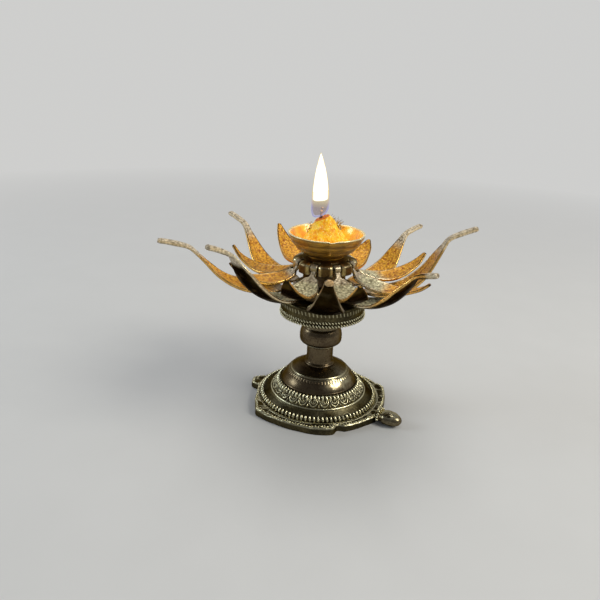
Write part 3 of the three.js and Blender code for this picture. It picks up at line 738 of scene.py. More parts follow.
def plate_patch():
    """The plate: at each bearing an outline that runs from the rope ring out to the edge, round it and back
    under to the hollow, with feet raised on it and a bead line along the edge."""
    share, drop = (column[:, None] for column in np.array(PLATE_SECTION).T)
    turn = full_circle(720)
    r = PLATE_INNER_RADIUS + (plate_reach(turn) - PLATE_INNER_RADIUS) * share
    on_top = drop < EDGE_FALL
    z = PLATE_HEIGHT - drop + on_top * (foot_mound(turn, share) - 0.10 * ease(share, 0.0, 0.3))
    co = around_axis(r, turn, z)
    rough = lumps(co, 1.15, 3) * 0.16
    co[..., 2] = np.maximum(z + on_top * (rough + lumps(co, 3.5, 4) * 0.12), 0.0)
    worn = on_top * (0.65 * ease(rough, 0.0, 0.13) + 0.5 * ease(share, 0.74, 0.9)) + (1 - on_top) * 0.03
    return grid_patch(co, closed_rows=True, worn=worn)


def rope_beads(radius, z, pitch, size, lean, tilt=0.0):
    """A ring of set-apart bars: each an egg that stands on the ring, leans along it by lean degrees and tips
    its foot outwards by tilt degrees."""
    count = int(round(2 * math.pi * radius / pitch))
    turns = 360 * np.arange(count) / count
    lay = tilted(tilt) @ leaning(lean)
    spots = around_axis(radius, turns, z)
    return copies(egg(size, 9, 8, worn=0.9), [(turned_to(t) @ lay, spot) for t, spot in zip(turns, spots)])


def edge_beads():
    """Small beads along the plate's edge, 1.5 mm apart, on the raised line just inside the outline."""
    share = 0.85
    turn = np.arange(0, 360, 2.4)
    edge = plate_reach(turn)
    r = PLATE_INNER_RADIUS + (edge - PLATE_INNER_RADIUS) * share
    rise = foot_mound(turn, np.full(turn.shape, share))
    spots = around_axis(r, turn, PLATE_HEIGHT + 0.12 + rise)
    kept = (edge - ROPE_RING_RADIUS) > 2.0
    places = [(turned_to(t), spot) for t, spot in zip(turn[kept], spots[kept])]
    return copies(egg((1.0, 0.95, 0.8), 5, 7, worn=0.95), places)


def rib_ring():
    """Fine ribs that fan out round the rope ring: their height goes as the cosine of the bearing times their
    number."""
    share = np.linspace(0, 1, 9)
    r = ROPE_RING_RADIUS + 0.9 + share * 1.5
    turn = full_circle(RIBS * 5)
    wave = 0.5 + 0.5 * np.cos(np.radians(turn) * RIBS)
    top = PLATE_HEIGHT + 0.10 + 0.26 * wave * np.sin(share * math.pi)[:, None] ** 0.5
    below = np.zeros((2, len(turn)))
    z = np.vstack([top, below + PLATE_HEIGHT - 0.8])
    worn = np.vstack([0.25 + 0.6 * np.broadcast_to(wave, top.shape), below])
    co = around_axis(np.concatenate([r, [r[-1], r[0]]])[:, None], turn, z)
    return grid_patch(co, closed_rows=True, worn=worn)


def leaf_relief(bearing, up):
    """Lotus leaves in a row: in each cell a U-shaped double ridge round a bead and a vein, with a small point
    between neighbouring leaves. up is the share of the band's height. Returns a height from 0 to 1."""
    across = ((bearing / 360 * LEAVES) % 1.0) * 2 - 1
    arch = np.sqrt(across ** 2 + ((up - 1.0) / 0.96) ** 2)
    outer = bell(arch, 0.88, 0.09)
    inner = bell(arch, 0.58, 0.08) * 0.85
    bead = np.exp(-(across ** 2 + ((up - 0.80) * 1.5) ** 2) / 0.020)
    vein = bell(across, 0.0, 0.06) * plateau(up, 0.46, 0.54, 0.66, 0.72) * 0.7
    point = bell(np.abs(across), 1.0, 0.10) * bell(up, 0.22, 0.16) * 0.8
    return np.clip(np.maximum.reduce([outer, inner, bead, vein, point]), 0, 1)


def foot_casting():
    """The foot's turned part: step, leaf band and top, hollow below, with a bore for the stud."""
    start = (ROPE_RING_RADIUS + 0.2, PLATE_HEIGHT - 0.6)
    outside = [
        start, (start[0], 4.9), (30.3, 5.1), (29.6, 4.9), (28.9, 5.3), (27.6, 6.2), (26.6, 6.95),
        (26.2, 7.55), (25.9, 8.15), (25.4, 8.25), (25.1, 7.95), (21.7, 11.45), (21.5, 12.2),
        (21.4, FOOT_TOP_Z), (20.2, FOOT_TOP_Z), (BORE_RADIUS, FOOT_TOP_Z),
    ]
    inside = [
        (BORE_RADIUS, 5.0), (6.5, 5.0), (6.5, 9.5), (18.9, 9.5), (24.3, 5.3), (29.9, 1.4), (29.9, 0.0),
        (31.2, 0.0), (31.2, 3.0), start,
    ]

    def worn(bearing, r, z):
        lip = np.exp(-((r - 25.9) ** 2 + (z - 8.15) ** 2) / 0.12)
        return np.clip(0.04 + lip + 0.10 * lumps(around_axis(r, bearing + 90, z), 6.0, 9), 0, 1)

    return turned(closed_outline(outside, inside, 0.28, 0.20, 1.6), 360, wear=worn)


def leaf_band():
    """The slope between the step and the top, cut with lotus leaves: a thin ring whose outer face is pushed
    out by the leaf relief."""
    bottom, top, normal = np.array([25.25, 8.05]), np.array([21.55, 11.6]), np.array([0.69, 0.72])
    share = np.linspace(0, 1, 34)[:, None]
    face = bottom + share * (top - bottom) + normal * (0.10 + 0.25 * np.sin(share * math.pi))
    line = np.vstack([face, [(21.0, 11.2), (24.3, 7.7)]])
    turn = full_circle(LEAVES * 48)
    cut = leaf_relief(turn, share) * plateau(share, 0.0, 0.05, 0.94, 1.0)
    behind = np.zeros((2, len(turn)))
    push = np.vstack([cut * 0.62 - 0.10, behind])
    co = around_axis(line[:, :1] + push * normal[0], turn, line[:, 1:] + push * normal[1])
    return grid_patch(co, closed_rows=True, worn=np.vstack([cut ** 1.4, behind]))


def tortoise_head():
    """The head: an egg on its neck, flatter below, with a brow over each eye and a mouth line at its end, and
    a collar of beads."""
    a = np.linspace(0.06, math.pi - 0.06, 60)[:, None]
    b = angles(64)
    x = -np.cos(a) * np.ones_like(b)
    thick = np.sin(a) ** 0.85
    y = thick * np.cos(b)
    z = thick * np.sin(b)
    z = np.where(z < 0, z * 0.86, z)
    eye = np.exp(-((x - 0.35) ** 2 / 0.02 + (np.abs(y) - 0.62) ** 2 / 0.03 + (z - 0.45) ** 2 / 0.06))
    mouth = bell(z, -0.12, 0.05) * ease(x, 0.45, 0.7)
    swell = (1 + 0.10 * eye - 0.05 * mouth) * (1 - 0.12 * bell(x, -0.45, 0.16))
    co = np.stack([x, y * swell, z * swell], axis=-1) * HEAD_HALF_SIZE
    worn = np.clip(0.15 + ease(z, 0.4, 0.9) * 0.45 + eye * 0.5, 0, 1)
    turn = turned_to(HEAD_BEARING)
    place = around_axis(ROPE_RING_RADIUS + HEAD_REACH, HEAD_BEARING, 3.35)
    head = grid_patch(co, worn=worn)
    head["co"] = head["co"] @ turn.T + place
    head["co"][:, 2] = np.maximum(head["co"][:, 2], 0.0)
    lift = np.radians(np.linspace(-10, 190, 9))
    spots = np.stack([np.full(9, -4.6), np.cos(lift) * 4.4, np.sin(lift) * 3.6], axis=-1) @ turn.T + place
    return joined([head, copies(egg((1.3, 1.3, 1.3), 6, 8, worn=1.0), [(turn, spot) for spot in spots])])


make("foot_casting", foot_casting(), cast_brass, replaces=["tortoise_foot"])
make("foot_plate", joined([plate_patch(), edge_beads(), rib_ring()]), cast_brass)
make("foot_lower_rope", rope_beads(ROPE_RING_RADIUS - 0.3, 5.0, 2.2, (1.2, 1.15, 3.3), 8, 32), cast_brass)
make("foot_leaf_band", leaf_band(), cast_brass)
make("foot_upper_rope", rope_beads(22.1, 12.1, 2.06, (1.3, 1.25, 3.5), 4, 38), cast_brass)
make("tortoise_head", tortoise_head(), turned_brass)


# Shell and stem

def shell_patch():
    """The dome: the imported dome's outline made fine, with a groove and short strokes cut below it."""
    base = FOOT_TOP_Z
    up = rises(base, SHELL_TOP_Z)
    across = rises(SHELL_TOP_RADIUS, SHELL_RIM_RADIUS)
    knots = [(1.0, 0.0), (0.95, 0.15), (0.85, 0.34), (0.72, 0.52), (0.62, 0.66), (0.40, 0.83), (0.20, 0.94),
             (0.0, 1.0)]
    curve = through(knots, 90)
    outside = np.stack([across(curve[:, 0]), up(curve[:, 1])], axis=-1)
    inside = [(BORE_RADIUS, SHELL_TOP_Z), (BORE_RADIUS, SHELL_TOP_Z - 2.2), (9.7, up(0.94) - 2.2),
              (13.8, up(0.68) - 1.8), (16.4, up(0.34) - 0.7), (18.2, base)]
    line = np.vstack([outside, soft_profile(inside, 1.5), outside[:1]])
    outer = np.arange(len(line) - 1)[:, None] < len(outside)
    groove_z = up(0.66)

    def cut(bearing, r, z):
        groove = bell(z, groove_z, 0.20) * 0.38
        lip = bell(z, groove_z + 0.62, 0.22) * 0.14
        stroke = np.clip(np.cos(np.radians(bearing) * 60), 0, 1) ** 2
        strokes = stroke * plateau(z, groove_z - 1.9, groove_z - 1.5, groove_z - 0.7, groove_z - 0.4)
        foot_roll = bell(z, base + 0.35, 0.25) * 0.10
        return outer * (lip + foot_roll - groove - 0.13 * strokes)

    def worn(bearing, r, z):
        lip = bell(z, groove_z + 0.55, 0.30) + bell(z, groove_z - 0.40, 0.20) * 0.5
        spot = around_axis(r, bearing, z)
        # a painted highlight: a lighter, polished patch on the dome's right side, broken up by lumps
        rubbed = bell(bearing, 40, 24) * bell(z, base + 5.2, 3.2)
        rubbed = rubbed * np.clip(0.50 + 0.55 * lumps(spot, 1.3, 31) + 0.35 * lumps(spot, 3.1, 32), 0, 1)
        return np.clip(0.03 + 0.4 * lip + 0.85 * rubbed, 0, 1)

    return turned(line, 600, cut, worn)


def stem_patch():
    """The stem: flange, neck, ring and fat bead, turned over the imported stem's heights."""
    z0, z1 = SHELL_TOP_Z, STEM_TOP_Z
    bead = z0 + NECK_HEIGHT
    up = rises(bead, z1)
    outside = [
        (FLANGE_RADIUS, z0), (FLANGE_RADIUS, z0 + 0.55), (8.0, z0 + 0.9), (7.3, z0 + 1.3),
        (NECK_RADIUS, z0 + 2.4), (NECK_RADIUS, bead - 0.5), (7.2, bead), (8.1, bead + 0.1), (8.6, bead + 0.5),
        (8.7, up(0.06)), (8.3, up(0.08)), (9.1, up(0.10)), (10.5, up(0.15)), (11.1, up(0.21)),
        (BEAD_RADIUS, up(0.29)), (BEAD_RADIUS, up(0.49)), (10.95, up(0.62)), (10.3, up(0.74)),
        (9.6, up(0.81)), (9.2, up(0.84)), (9.5, up(0.87)), (9.6, up(0.93)), (9.5, up(0.97)),
        (STEM_TOP_RADIUS, z1),
    ]
    inside = [(BORE_RADIUS, z1), (BORE_RADIUS, z0), outside[0]]

    def worn(bearing, r, z):
        return np.clip(0.04 + 0.55 * bell(z, bead + 0.6, 0.4) + 0.25 * bell(z, up(0.87), 0.35), 0, 1)

    return turned(closed_outline(outside, inside, 0.22, 0.22), 240, wear=worn)


make("shell_dome", shell_patch(), turned_brass, replaces=["shell"])
make("stem_baluster", stem_patch(), turned_brass, replaces=["stem"])


# Lotus disc

def disc_patch():
    """The disc: stepped underside, double lip, an upright side cut with scallops and a plain top."""
    z0, z1 = STEM_TOP_Z, DISC_TOP_Z
    lip = z0 + DISC_UNDERSIDE
    up = rises(z0, lip)
    outside = [
        (DISC_FOOT_RADIUS, z0), (11.9, up(0.05)), (12.3, up(0.13)), (12.2, up(0.21)), (12.9, up(0.26)),
        (13.5, up(0.31)), (15.4, up(0.37)), (16.0, up(0.43)), (16.1, up(0.52)), (16.8, up(0.58)),
        (19.0, up(0.64)), (20.0, up(0.71)), (20.6, up(0.81)), (21.6, up(0.86)), (22.4, up(0.92)), (22.6, lip),
        (22.1, lip + 0.5), (21.7, lip + 0.9), (22.2, lip + 1.4), (22.1, lip + 1.9), (21.8, lip + 2.2),
        (21.9, lip + 2.6), (22.1, z1 - 2.2), (22.6, z1 - 1.8), (22.7, z1 - 1.1), (22.5, z1 - 0.5),
        (22.0, z1 - 0.1), (21.4, z1),
    ]
    inside = [(BORE_RADIUS, z1), (BORE_RADIUS, z0), outside[0]]

    def cut(bearing, r, z):
        on_side = plateau(z, z1 - 4.3, z1 - 4.0, z1 - 2.2, z1 - 1.9) * (r > 20)
        slanting = bearing / 360 * DISC_STROKES + (z - z1) * 0.12
        stroke = np.clip(np.cos(slanting * 2 * math.pi), 0, 1) ** 1.5
        return on_side * (0.34 * stroke - 0.10)

    def worn(bearing, r, z):
        ridge = np.clip(cut(bearing, r, z) / 0.25, 0, 1)
        rings = bell(z, up(0.43), 0.25) + bell(z, up(0.71), 0.3)
        return np.clip(0.02 + 0.45 * ridge + 0.30 * rings * (r > 12), 0, 1)

    return joined([
        turned(closed_outline(outside, inside, 0.24, 0.16), 560, cut, worn),
        rope_beads(22.2, lip - 0.05, 1.6, (0.95, 0.85, 2.2), 36),
        rope_beads(21.9, lip + 1.75, 1.6, (0.85, 0.80, 1.9), 36),
    ])


make("disc_lotus", disc_patch(), cast_brass, replaces=["lotus_disc"])


# Crowns, wires and sleeve

def crown_patch(bottom, top, seat, first_slot):
    """A crown: a ring of blunt fingers under a domed top. Inside each slot the outer wall is drawn in to the
    slot's floor, and each finger's sides are drawn in over a third of its width, so its face is convex."""
    outside = [(16.3, bottom), (16.5, bottom + 0.5), (16.5, top - 2.4), (16.2, top - 1.6), (15.5, top - 1.1),
               (13.5, top - 0.6), (9.5, top)]
    inside = [(BORE_RADIUS, top), (BORE_RADIUS, bottom - seat)]
    if seat:
        inside += [(12.5, bottom - seat), (12.5, bottom)]
    inside += [(16.45, bottom)]
    line = closed_outline(outside, inside, 0.22, 0.15, 1.2)[:-1]
    r, z = line[:, :1], line[:, 1:]
    turn = full_circle(720)
    off = away_from(first_slot, turn, SLOT_PITCH)
    sideways = r * np.abs(np.sin(np.radians(off)))
    from_side = sideways - SLOT_WIDTH / 2
    face = ease(r, 13.0, 15.5)
    finger = ease(from_side, -0.02, 0.45)
    r = np.where(r > SLOT_FLOOR, SLOT_FLOOR + (r - SLOT_FLOOR) * finger, r)
    drawn_in = 1.05 * (1 - ease(from_side, 0.0, 2.1)) + 0.16 * bell(from_side, 2.5, 0.28)
    drawn_in = drawn_in * (1 - 0.6 * ease(z, top - 1.2, top - 0.4))
    r = np.where(r > SLOT_FLOOR, r - drawn_in * finger * ease(r, SLOT_FLOOR, SLOT_FLOOR + 2.5), r)
    side = bell(from_side, 1.25, 0.75) * face
    rim = bell(z, top - 1.3, 0.5) * face
    # painted light: the domed top a little lighter
    painted_lit_top = ease(z, top - 1.4, top - 0.9) * 0.07
    worn = np.clip(0.02 + painted_lit_top + 0.72 * side + 0.22 * rim * ease(from_side, 0.0, 0.6), 0, 1)
    return grid_patch(around_axis(r, turn, z), closed_rows=True, worn=worn)


def wire_patch(z):
    """A round hinge wire bent into a ring."""
    a = angles(12)
    line = np.stack([WIRE_CIRCLE + WIRE_RADIUS * np.cos(a), z + WIRE_RADIUS * np.sin(a)], axis=-1)
    return turned(np.vstack([line, line[:1]]), 144)


for crown_node, wire_node, hinge_z, first_slot, seat in [
    ("lower_petal_crown", "lower_hinge_wire", LOWER_HINGE_Z, 0.0, LOWER_SEAT_HEIGHT),
    ("upper_petal_crown", "upper_hinge_wire", UPPER_HINGE_Z, SLOT_PITCH / 2, 0.0),
]:
    crown = crown_patch(low(crown_node)[2] + seat, high(crown_node)[2], seat, first_slot)
    crown_name = crown_node.replace("petal_", "") + "_blocks"
    make(crown_name, crown, crown_brass_painted_lit, replaces=[crown_node])
    make(wire_node + "_ring", wire_patch(hinge_z), turned_brass, replaces=[wire_node])

sleeve_low, sleeve_high = low("crown_sleeve")[2], high("crown_sleeve")[2]
sleeve_line = soft_profile([
    (SLEEVE_RADIUS, sleeve_low), (SLEEVE_RADIUS, sleeve_high), (BORE_RADIUS, sleeve_high),
    (BORE_RADIUS, sleeve_low), (SLEEVE_RADIUS, sleeve_low),
], 0.6)
make("sleeve_between_crowns", turned(sleeve_line, 180), turned_brass,
     replaces=["crown_sleeve"])


# Petals

def section(half_width, thickness, count=50):
    """Closed section of a blade: flat inner face, rounded edges, flat outer face. Returns offsets across and
    up for each station, and which points are on the inner face."""
    corner = np.minimum(half_width, thickness / 2)[:, None] * 0.85
    arc = np.radians(np.linspace(90, 0, 5))
    flat = np.linspace(-1, 1, count)
    back = flat[::-2]
    one, none = np.ones(5), np.zeros(len(back))
    a = np.concatenate([flat, one, one, back, -one, -one])
    b = np.concatenate([np.ones(count), one, -one, none - 1, -one, one])
    c, s = np.cos(arc), np.sin(arc)
    cx = np.concatenate([np.zeros(count), c, c[::-1], none, -c, -c[::-1]])
    cy = np.concatenate([np.ones(count), s, -s[::-1], none - 1, -s, s[::-1]])
    across = (half_width[:, None] - corner) * a + corner * cx
    up = (thickness[:, None] / 2 - corner) * b + corner * cy
    return across, up, np.arange(len(a)) < count


def painted_flame_glow_share(station, fraction, long):
    """How much orange flame light is painted on a petal's inner face: only the outer end on the petals in
    front, the outer half on the right-hand ones, nearly the whole face on the left-hand and back ones."""
    from_front = away_from(FRONT, station)
    if station == FRONT:
        return 0.75 * ease(fraction, 0.84, 0.92)
    if station == FRONT_RIGHT:
        return plateau(fraction, 0.50, 0.66, 0.90, 0.97)
    if abs(from_front) < 50:
        return ease(fraction, 0.80, 0.97)
    start = 0.10 if from_front < 0 or from_front > 120 or long else 0.44
    return ease(fraction, start - 0.08, start + 0.10)


def eye_patch():
    """The petal's eye: a short tube round the hinge wire, its axis along y, with rounded ends."""
    half = EYE_WIDTH / 2
    line = soft_profile([(EYE_RADIUS, -half), (EYE_RADIUS, half), (EYE_BORE, half), (EYE_BORE, -half),
                         (EYE_RADIUS, -half)], 0.4, 0.1)[:-1]
    a = angles(36)
    co = np.stack([line[:, :1] * np.cos(a), line[:, 1:] * np.ones_like(a), line[:, :1] * np.sin(a)], axis=-1)
    return grid_patch(co, closed_rows=True, inner=0.5, worn=0.3, tip=1.0)


def petal_patch(row, blade, cup, tip_thickness, outer_half, seed):
    """A petal in the lamp's frame. Its section is carried along the blade's middle line, its edges rise with
    the square of the distance from the middle, and it is bent sideways with the square of the reach."""
    station, length, tip_bearing, lift, sag, extra_width = row
    long = tip_thickness > BLADE_THICKNESS
    stretch = length / blade[-1][0]
    half_widest = max(w for _, _, w in blade) / 2
    line = through([(x * stretch, z * stretch * sag, w) for x, z, w in blade], BLADE_ROWS)[ROOT_ROWS:]
    tangent = np.gradient(line[:, :2], axis=0)
    tangent /= np.linalg.norm(tangent, axis=1, keepdims=True)
    along_x, along_z = tangent[:, :1], tangent[:, 1:]
    fraction = line[:, 0] / length
    share = fraction[:, None]
    thickness = BLADE_THICKNESS + (tip_thickness - BLADE_THICKNESS) * ease(fraction, 0.7, 0.9)
    half = (line[:, 2] + extra_width * plateau(fraction, *outer_half)) / 2
    closing = 1 - 0.25 * np.clip((fraction - 1) / 0.012 + 1, 0, 1)
    across, up, inner = section(half * closing, thickness * closing)
    rim = np.abs(across) / half[:, None]
    rolled = 1 + 0.2 * ease(rim, 0.80, 0.94) * (1 - ease(share, 0.70, 0.85))
    raised = up * rolled + cup * (across / half_widest) ** 2
    reach = WIRE_CIRCLE + length * math.cos(math.radians(lift))
    bend = reach * math.sin(math.radians(tip_bearing - station))
    sideways = bend * share ** 2 + across
    co = np.stack([line[:, :1] - along_z * raised, sideways, line[:, 1:2] + along_x * raised], axis=-1)
    bare = ease(share, 0.06, 0.12)
    grain = lumps(co, 0.85, seed) * 0.13 + lumps(co, 1.7, seed + 1) * 0.07
    press = (grain * inner + lumps(co, 5.0, seed + 2) * 0.10 * (1 - inner)) * bare
    co[..., 0] -= along_z * press
    co[..., 2] += along_x * press

    bar_from = LATE_BARS.get(station, BAR_FROM)
    bar = ease(share, bar_from, bar_from + 0.06) * long
    rim_line = np.where(inner, 0.84, 0.93)
    rubbed = ease(rim, rim_line, rim_line + 0.07) * (0.95 - 0.45 * bar)
    worn = np.clip(rubbed + 0.10 * lumps(co, 3.0, seed + 3), 0, 1)
    tip = ease(share, bar_from - 0.05, bar_from + 0.05) * long
    # painted shade: the front petal's rubbed rims and pale bar are dimmed, its lower rims most
    if station == FRONT:
        worn = worn * 0.55 * ease(share, 0.26, 0.56)
        tip = tip * 0.4
    tip = tip + ease(0.16 - share, 0.0, 0.08)
    # painted flame light along the rims: strong orange on the listed petals, faint on the rest
    rim_painted_flame_glow = 0.95 if station in PAINTED_FLAME_GLOW_RIMS else 0.25
    gilt = np.maximum(painted_flame_glow_share(station, share, long),
                      rim_painted_flame_glow * ease(rim, 0.66, 0.95) * ease(share, 0.25, 0.5) * (1 - tip))
    inner_face = np.maximum(inner * (1 - ease(rim, 0.93, 0.99)), bar)
    blade_patch = grid_patch(co, inner=inner_face, worn=worn, tip=np.clip(tip, 0, 1), gilt=gilt)
    piece = joined([blade_patch, eye_patch()])
    turn = turned_to(station) @ tilted(lift)
    piece["co"] = piece["co"] @ turn.T + around_axis(WIRE_CIRCLE, station, 0.0)
    return piece


for prefix, rows, hinge_z, seed, blade, cup, tip_thickness, outer_half in [
    ("long_petal", LONG_PETALS, LOWER_HINGE_Z, 10, LONG_BLADE, LONG_CUP, LONG_TIP_THICKNESS, LONG_OUTER_HALF),
    ("short_petal", SHORT_PETALS, UPPER_HINGE_Z, 11, SHORT_BLADE, SHORT_CUP, BLADE_THICKNESS,
     SHORT_OUTER_HALF),
]:
    for number, row in enumerate(rows, 1):
        node = f"{prefix}_{number}"
        patch = petal_patch(row, blade, cup, tip_thickness, outer_half, seed + number * 10)
        patch["co"][:, 2] += hinge_z
        make(node + "_casting", patch, petal_brass, body=node, replaces=[node])


# Bowl

def bowl_patch():
    """The bowl: a thin cup with shallow rings outside and small nicks along its rim."""
    z0, z1 = BOWL_Z, RIM_Z
    rim = BOWL_RIM_RADIUS
    out = rises(BOWL_FOOT_RADIUS, rim)
    up = rises(z0, z1)
    foot = [(BOWL_FOOT_RADIUS, z0), (9.25, z0 + 0.35), (9.1, z0 + 0.7), (9.6, z0 + 1.0)]
    curve = through([(out(0.08), up(0.085)), (out(0.34), up(0.21)), (out(0.62), up(0.42)),
                     (out(0.80), up(0.60)), (out(0.97), up(0.90)), (rim, up(0.97))], 60)
    lip = [(rim - 0.15, up(0.995)), (rim - 0.6, z1), (rim - 1.0, up(0.98))]
    floor_z = z0 + 3.3
    inside = through([(rim - BOWL_WALL, up(0.95)), (out(0.81) - BOWL_WALL, up(0.66)),
                      (out(0.62) - BOWL_WALL, up(0.50)), (out(0.34) - BOWL_WALL, up(0.34)),
                      (7.8, floor_z)], 40)
    floor = [(6.0, floor_z), (0.3, floor_z)]
    below = [(0.3, z0 + 2.1), (2.3, z0 + 2.1), (2.3, z0)]
    line = np.vstack([foot, curve, lip, inside, floor, below])
    outer_count = len(foot) + len(curve)
    row = np.arange(len(line))[:, None]
    height = line[:, 1:]
    turn = full_circle(540)

    def nick(bearing):
        spot = around_axis(rim, bearing, 0.0)
        rough_part = 0.35 + 0.65 * bell(away_from(20, bearing), 0.0, 28)
        fine = np.clip(lumps(spot, 1.5, 21) - 0.15, 0, 1) * 0.95
        return (fine + np.clip(lumps(spot, 3.6, 22) - 0.2, 0, 1) * 0.5) * rough_part

    near_rim = ease(height, z1 - 0.9, z1 - 0.2)
    rings = 0.11 * np.sin((height - z0) * 2 * math.pi / 3.3) + 0.03 * np.sin((height - z0) * 4.1)
    r = line[:, :1] + (row < outer_count) * rings * ease(height, z0 + 1.4, z0 + 2.4) * (1 - near_rim)
    co = around_axis(r, turn, height - near_rim * nick(turn))
    worn = np.clip(1.1 * near_rim + 0.06 * lumps(co, 2.5, 24), 0, 1)
    inner = (row >= outer_count + 2) * (height > floor_z - 0.3)
    band = np.clip(0.45 + rings * 3.2 + 0.25 * lumps(co * [0.3, 0.3, 1.4], 1.6, 25), 0, 1)
    return grid_patch(co, closed_rows=True, worn=worn, inside=inner, band=band)


make("bowl_cup", bowl_patch(), bowl_brass, replaces=["bowl"])


# Ghee-soaked cotton and the wick

def ghee_patch():
    """The heap: a steep cone whose top is cut by a plane that slants down to the left, rough with grains of
    three sizes, widening to the bowl's wall below."""
    curve = through(HEAP_KNOTS, 130)
    under = [(0.3, BOWL_Z + 3.6), (7.4, BOWL_Z + 3.6), (10.8, BOWL_Z + 5.0)]
    heap = np.stack([GHEE_RADIUS * curve[:, 0], rises(GHEE_EDGE_Z, PEAK_Z)(curve[:, 1])], axis=-1)
    line = np.vstack([under, heap])
    turn = full_circle(320)
    out = bearing_of(turn)
    rise = np.clip((line[:, 1:] - GHEE_EDGE_Z) / (PEAK_Z - GHEE_EDGE_Z), 0, 1)
    co = around_axis(line[:, :1], turn, line[:, 1:])
    co[..., 0] -= PEAK_SHIFT * rise
    top = ease(line[:, 1:], GHEE_EDGE_Z - 0.5, GHEE_EDGE_Z + 1.0)
    lump = lumps(co, 3.4, 41) * 0.45 + lumps(co, 1.6, 42) * 0.30
    grain = lumps(co, 0.75, 43) * 0.20 + lumps(co, 0.42, 44) * 0.10
    fold = 0.30 * np.sin(np.radians(turn * 5) + co[..., 2] * 0.5)
    push = (lump + grain + fold * (1 - rise)) * top * (1 - 0.35 * rise)
    co[..., :2] += push[..., None] * out * 0.85
    co[..., 2] += push * 0.4 * (1 - rise)
    slant = PEAK_Z - 0.35 - TOP_SLOPE * np.maximum(TOP_X - co[..., 0], 0) + 0.6 * grain
    cut = ease(co[..., 2] - slant, -0.5, 0.1) * top
    co[..., 2] = np.minimum(co[..., 2], slant)
    return grid_patch(co, glow=cut, lump=0.5 + 0.5 * np.clip(lump + grain, -1, 1))


def strand(start, end, sag, radius, seed):
    """A loose cotton fibre: a thin tube along a bowed line, wandering a little to each side."""
    t = np.linspace(0, 1, 9)[:, None]
    bow = np.sin(math.pi * t)
    line = start + (end - start) * t + np.array([0, 0, sag]) * bow
    spots = np.hstack([t * 3, t * 0, t * 0]) + seed
    wander = np.stack([lumps(spots, 1.0, seed + n) for n in range(3)], axis=-1)
    line = line + wander * 1.1 * bow + 0.35 * wander[::-1] * t
    ahead = np.gradient(line, axis=0)
    ahead /= np.linalg.norm(ahead, axis=1, keepdims=True)
    side = np.cross(ahead, [0.3, 0.4, 0.85])
    side /= np.linalg.norm(side, axis=1, keepdims=True)
    over = np.cross(ahead, side)
    a = angles(5)[:, None]
    taper = (1 - 0.6 * t)[:, :, None]
    ring = np.cos(a) * side[:, None] + np.sin(a) * over[:, None]
    return grid_patch(line[:, None] + radius * taper * ring)


def loose_fibres():
    """Curled stray fibres of the cotton that stand on the heap's two slopes, more of them on the right, and
    crumbs of set ghee among them."""
    rng = np.random.default_rng(11)
    radii, heights = np.array(HEAP_KNOTS).T
    patches = []
    crumbs = []
    for k in range(64):
        on_right = k < 44
        bearing = rng.uniform(70, 125) if on_right else rng.uniform(240, 285)
        share = rng.uniform(0.42, 0.84) if on_right else rng.uniform(0.34, 0.60)
        out = bearing_of(bearing)
        r = GHEE_RADIUS * np.interp(share, heights, radii)
        start = around_axis(r, bearing, rises(GHEE_EDGE_Z, PEAK_Z)(share) - 0.2) - [PEAK_SHIFT * share, 0, 0]
        if k % 2:
            turn = turned_to(rng.uniform(0, 360)) @ tilted(20)
            crumbs.append((turn, start + [0, 0, rng.uniform(0.3, 1.4)]))
            continue
        end = start + np.array([out[0] * 0.9 + rng.normal(0, 1.1), rng.normal(0, 0.9), rng.uniform(1.6, 4.0)])
        patches.append(strand(start, end, rng.uniform(-0.5, 0.9), rng.uniform(0.10, 0.17), k))
    return joined(patches + [copies(egg((0.8, 0.55, 0.5), 6, 7), crumbs)])


def ghee_material():
    """Set ghee in cotton: yellow and waxy, deeper orange in its hollows. Painted flame light: a faint glow
    all over, deeper orange near the flame.
    """
    sheet, shader, material = new_material("ghee-soaked cotton")
    place = sheet.place()
    grains = sheet.noise(place, 950.0, 3.0, 0.7)
    clouds = sheet.noise(place, 260.0, 3.0, 0.5)
    lump = sheet.mask("lump")
    base = sheet.mix(sheet.fit(clouds, 0.35, 0.68), colour(0.92, 0.50, 0.010), colour(1.0, 0.66, 0.035))
    for value, begins, full, most, tint in [
        (lump, 0.50, 0.28, 0.9, colour(0.80, 0.28, 0.004)),
        (lump, 0.60, 0.80, 0.7, colour(1.0, 0.80, 0.30)),
        (grains, 0.56, 0.68, 0.75, colour(1.0, 0.88, 0.42)),
        (grains, 0.44, 0.34, 0.75, colour(0.66, 0.24, 0.003)),
        (sheet.mask("glow"), 0.2, 0.9, 0.9, colour(0.60, 0.11, 0.004)),
    ]:
        base = sheet.mix(sheet.fit(value, begins, full, 0.0, most), base, tint)
    # the emission is painted flame light
    sheet.feed(shader, {
        "Base Color": base, "Emission Color": base, "Emission Strength": 0.26, "Specular IOR Level": 0.3,
        "Subsurface Weight": 0.1, "Subsurface Radius": (0.004, 0.0018, 0.0006), "Subsurface Scale": 0.5,
        "Roughness": sheet.fit(grains, 0.3, 0.7, 0.28, 0.6),
        "Normal": sheet.bump(sheet.plus(grains, sheet.times(clouds, 0.6)), 0.7),
    })
    return material


def plain_material(name, first, second, scale, roughness):
    """A matt stuff of two colours, mixed by noise, with a fine bump."""
    sheet, shader, material = new_material(name)
    grain = sheet.noise(sheet.place(), scale, 4.0, 0.6)
    sheet.feed(shader, {
        "Base Color": sheet.mix(sheet.fit(grain, 0.35, 0.65), first, second),
        "Roughness": sheet.fit(grain, 0.3, 0.7, roughness - 0.1, roughness + 0.1),
        "Normal": sheet.bump(grain, 0.1),
    })
    return sheet, shader, material


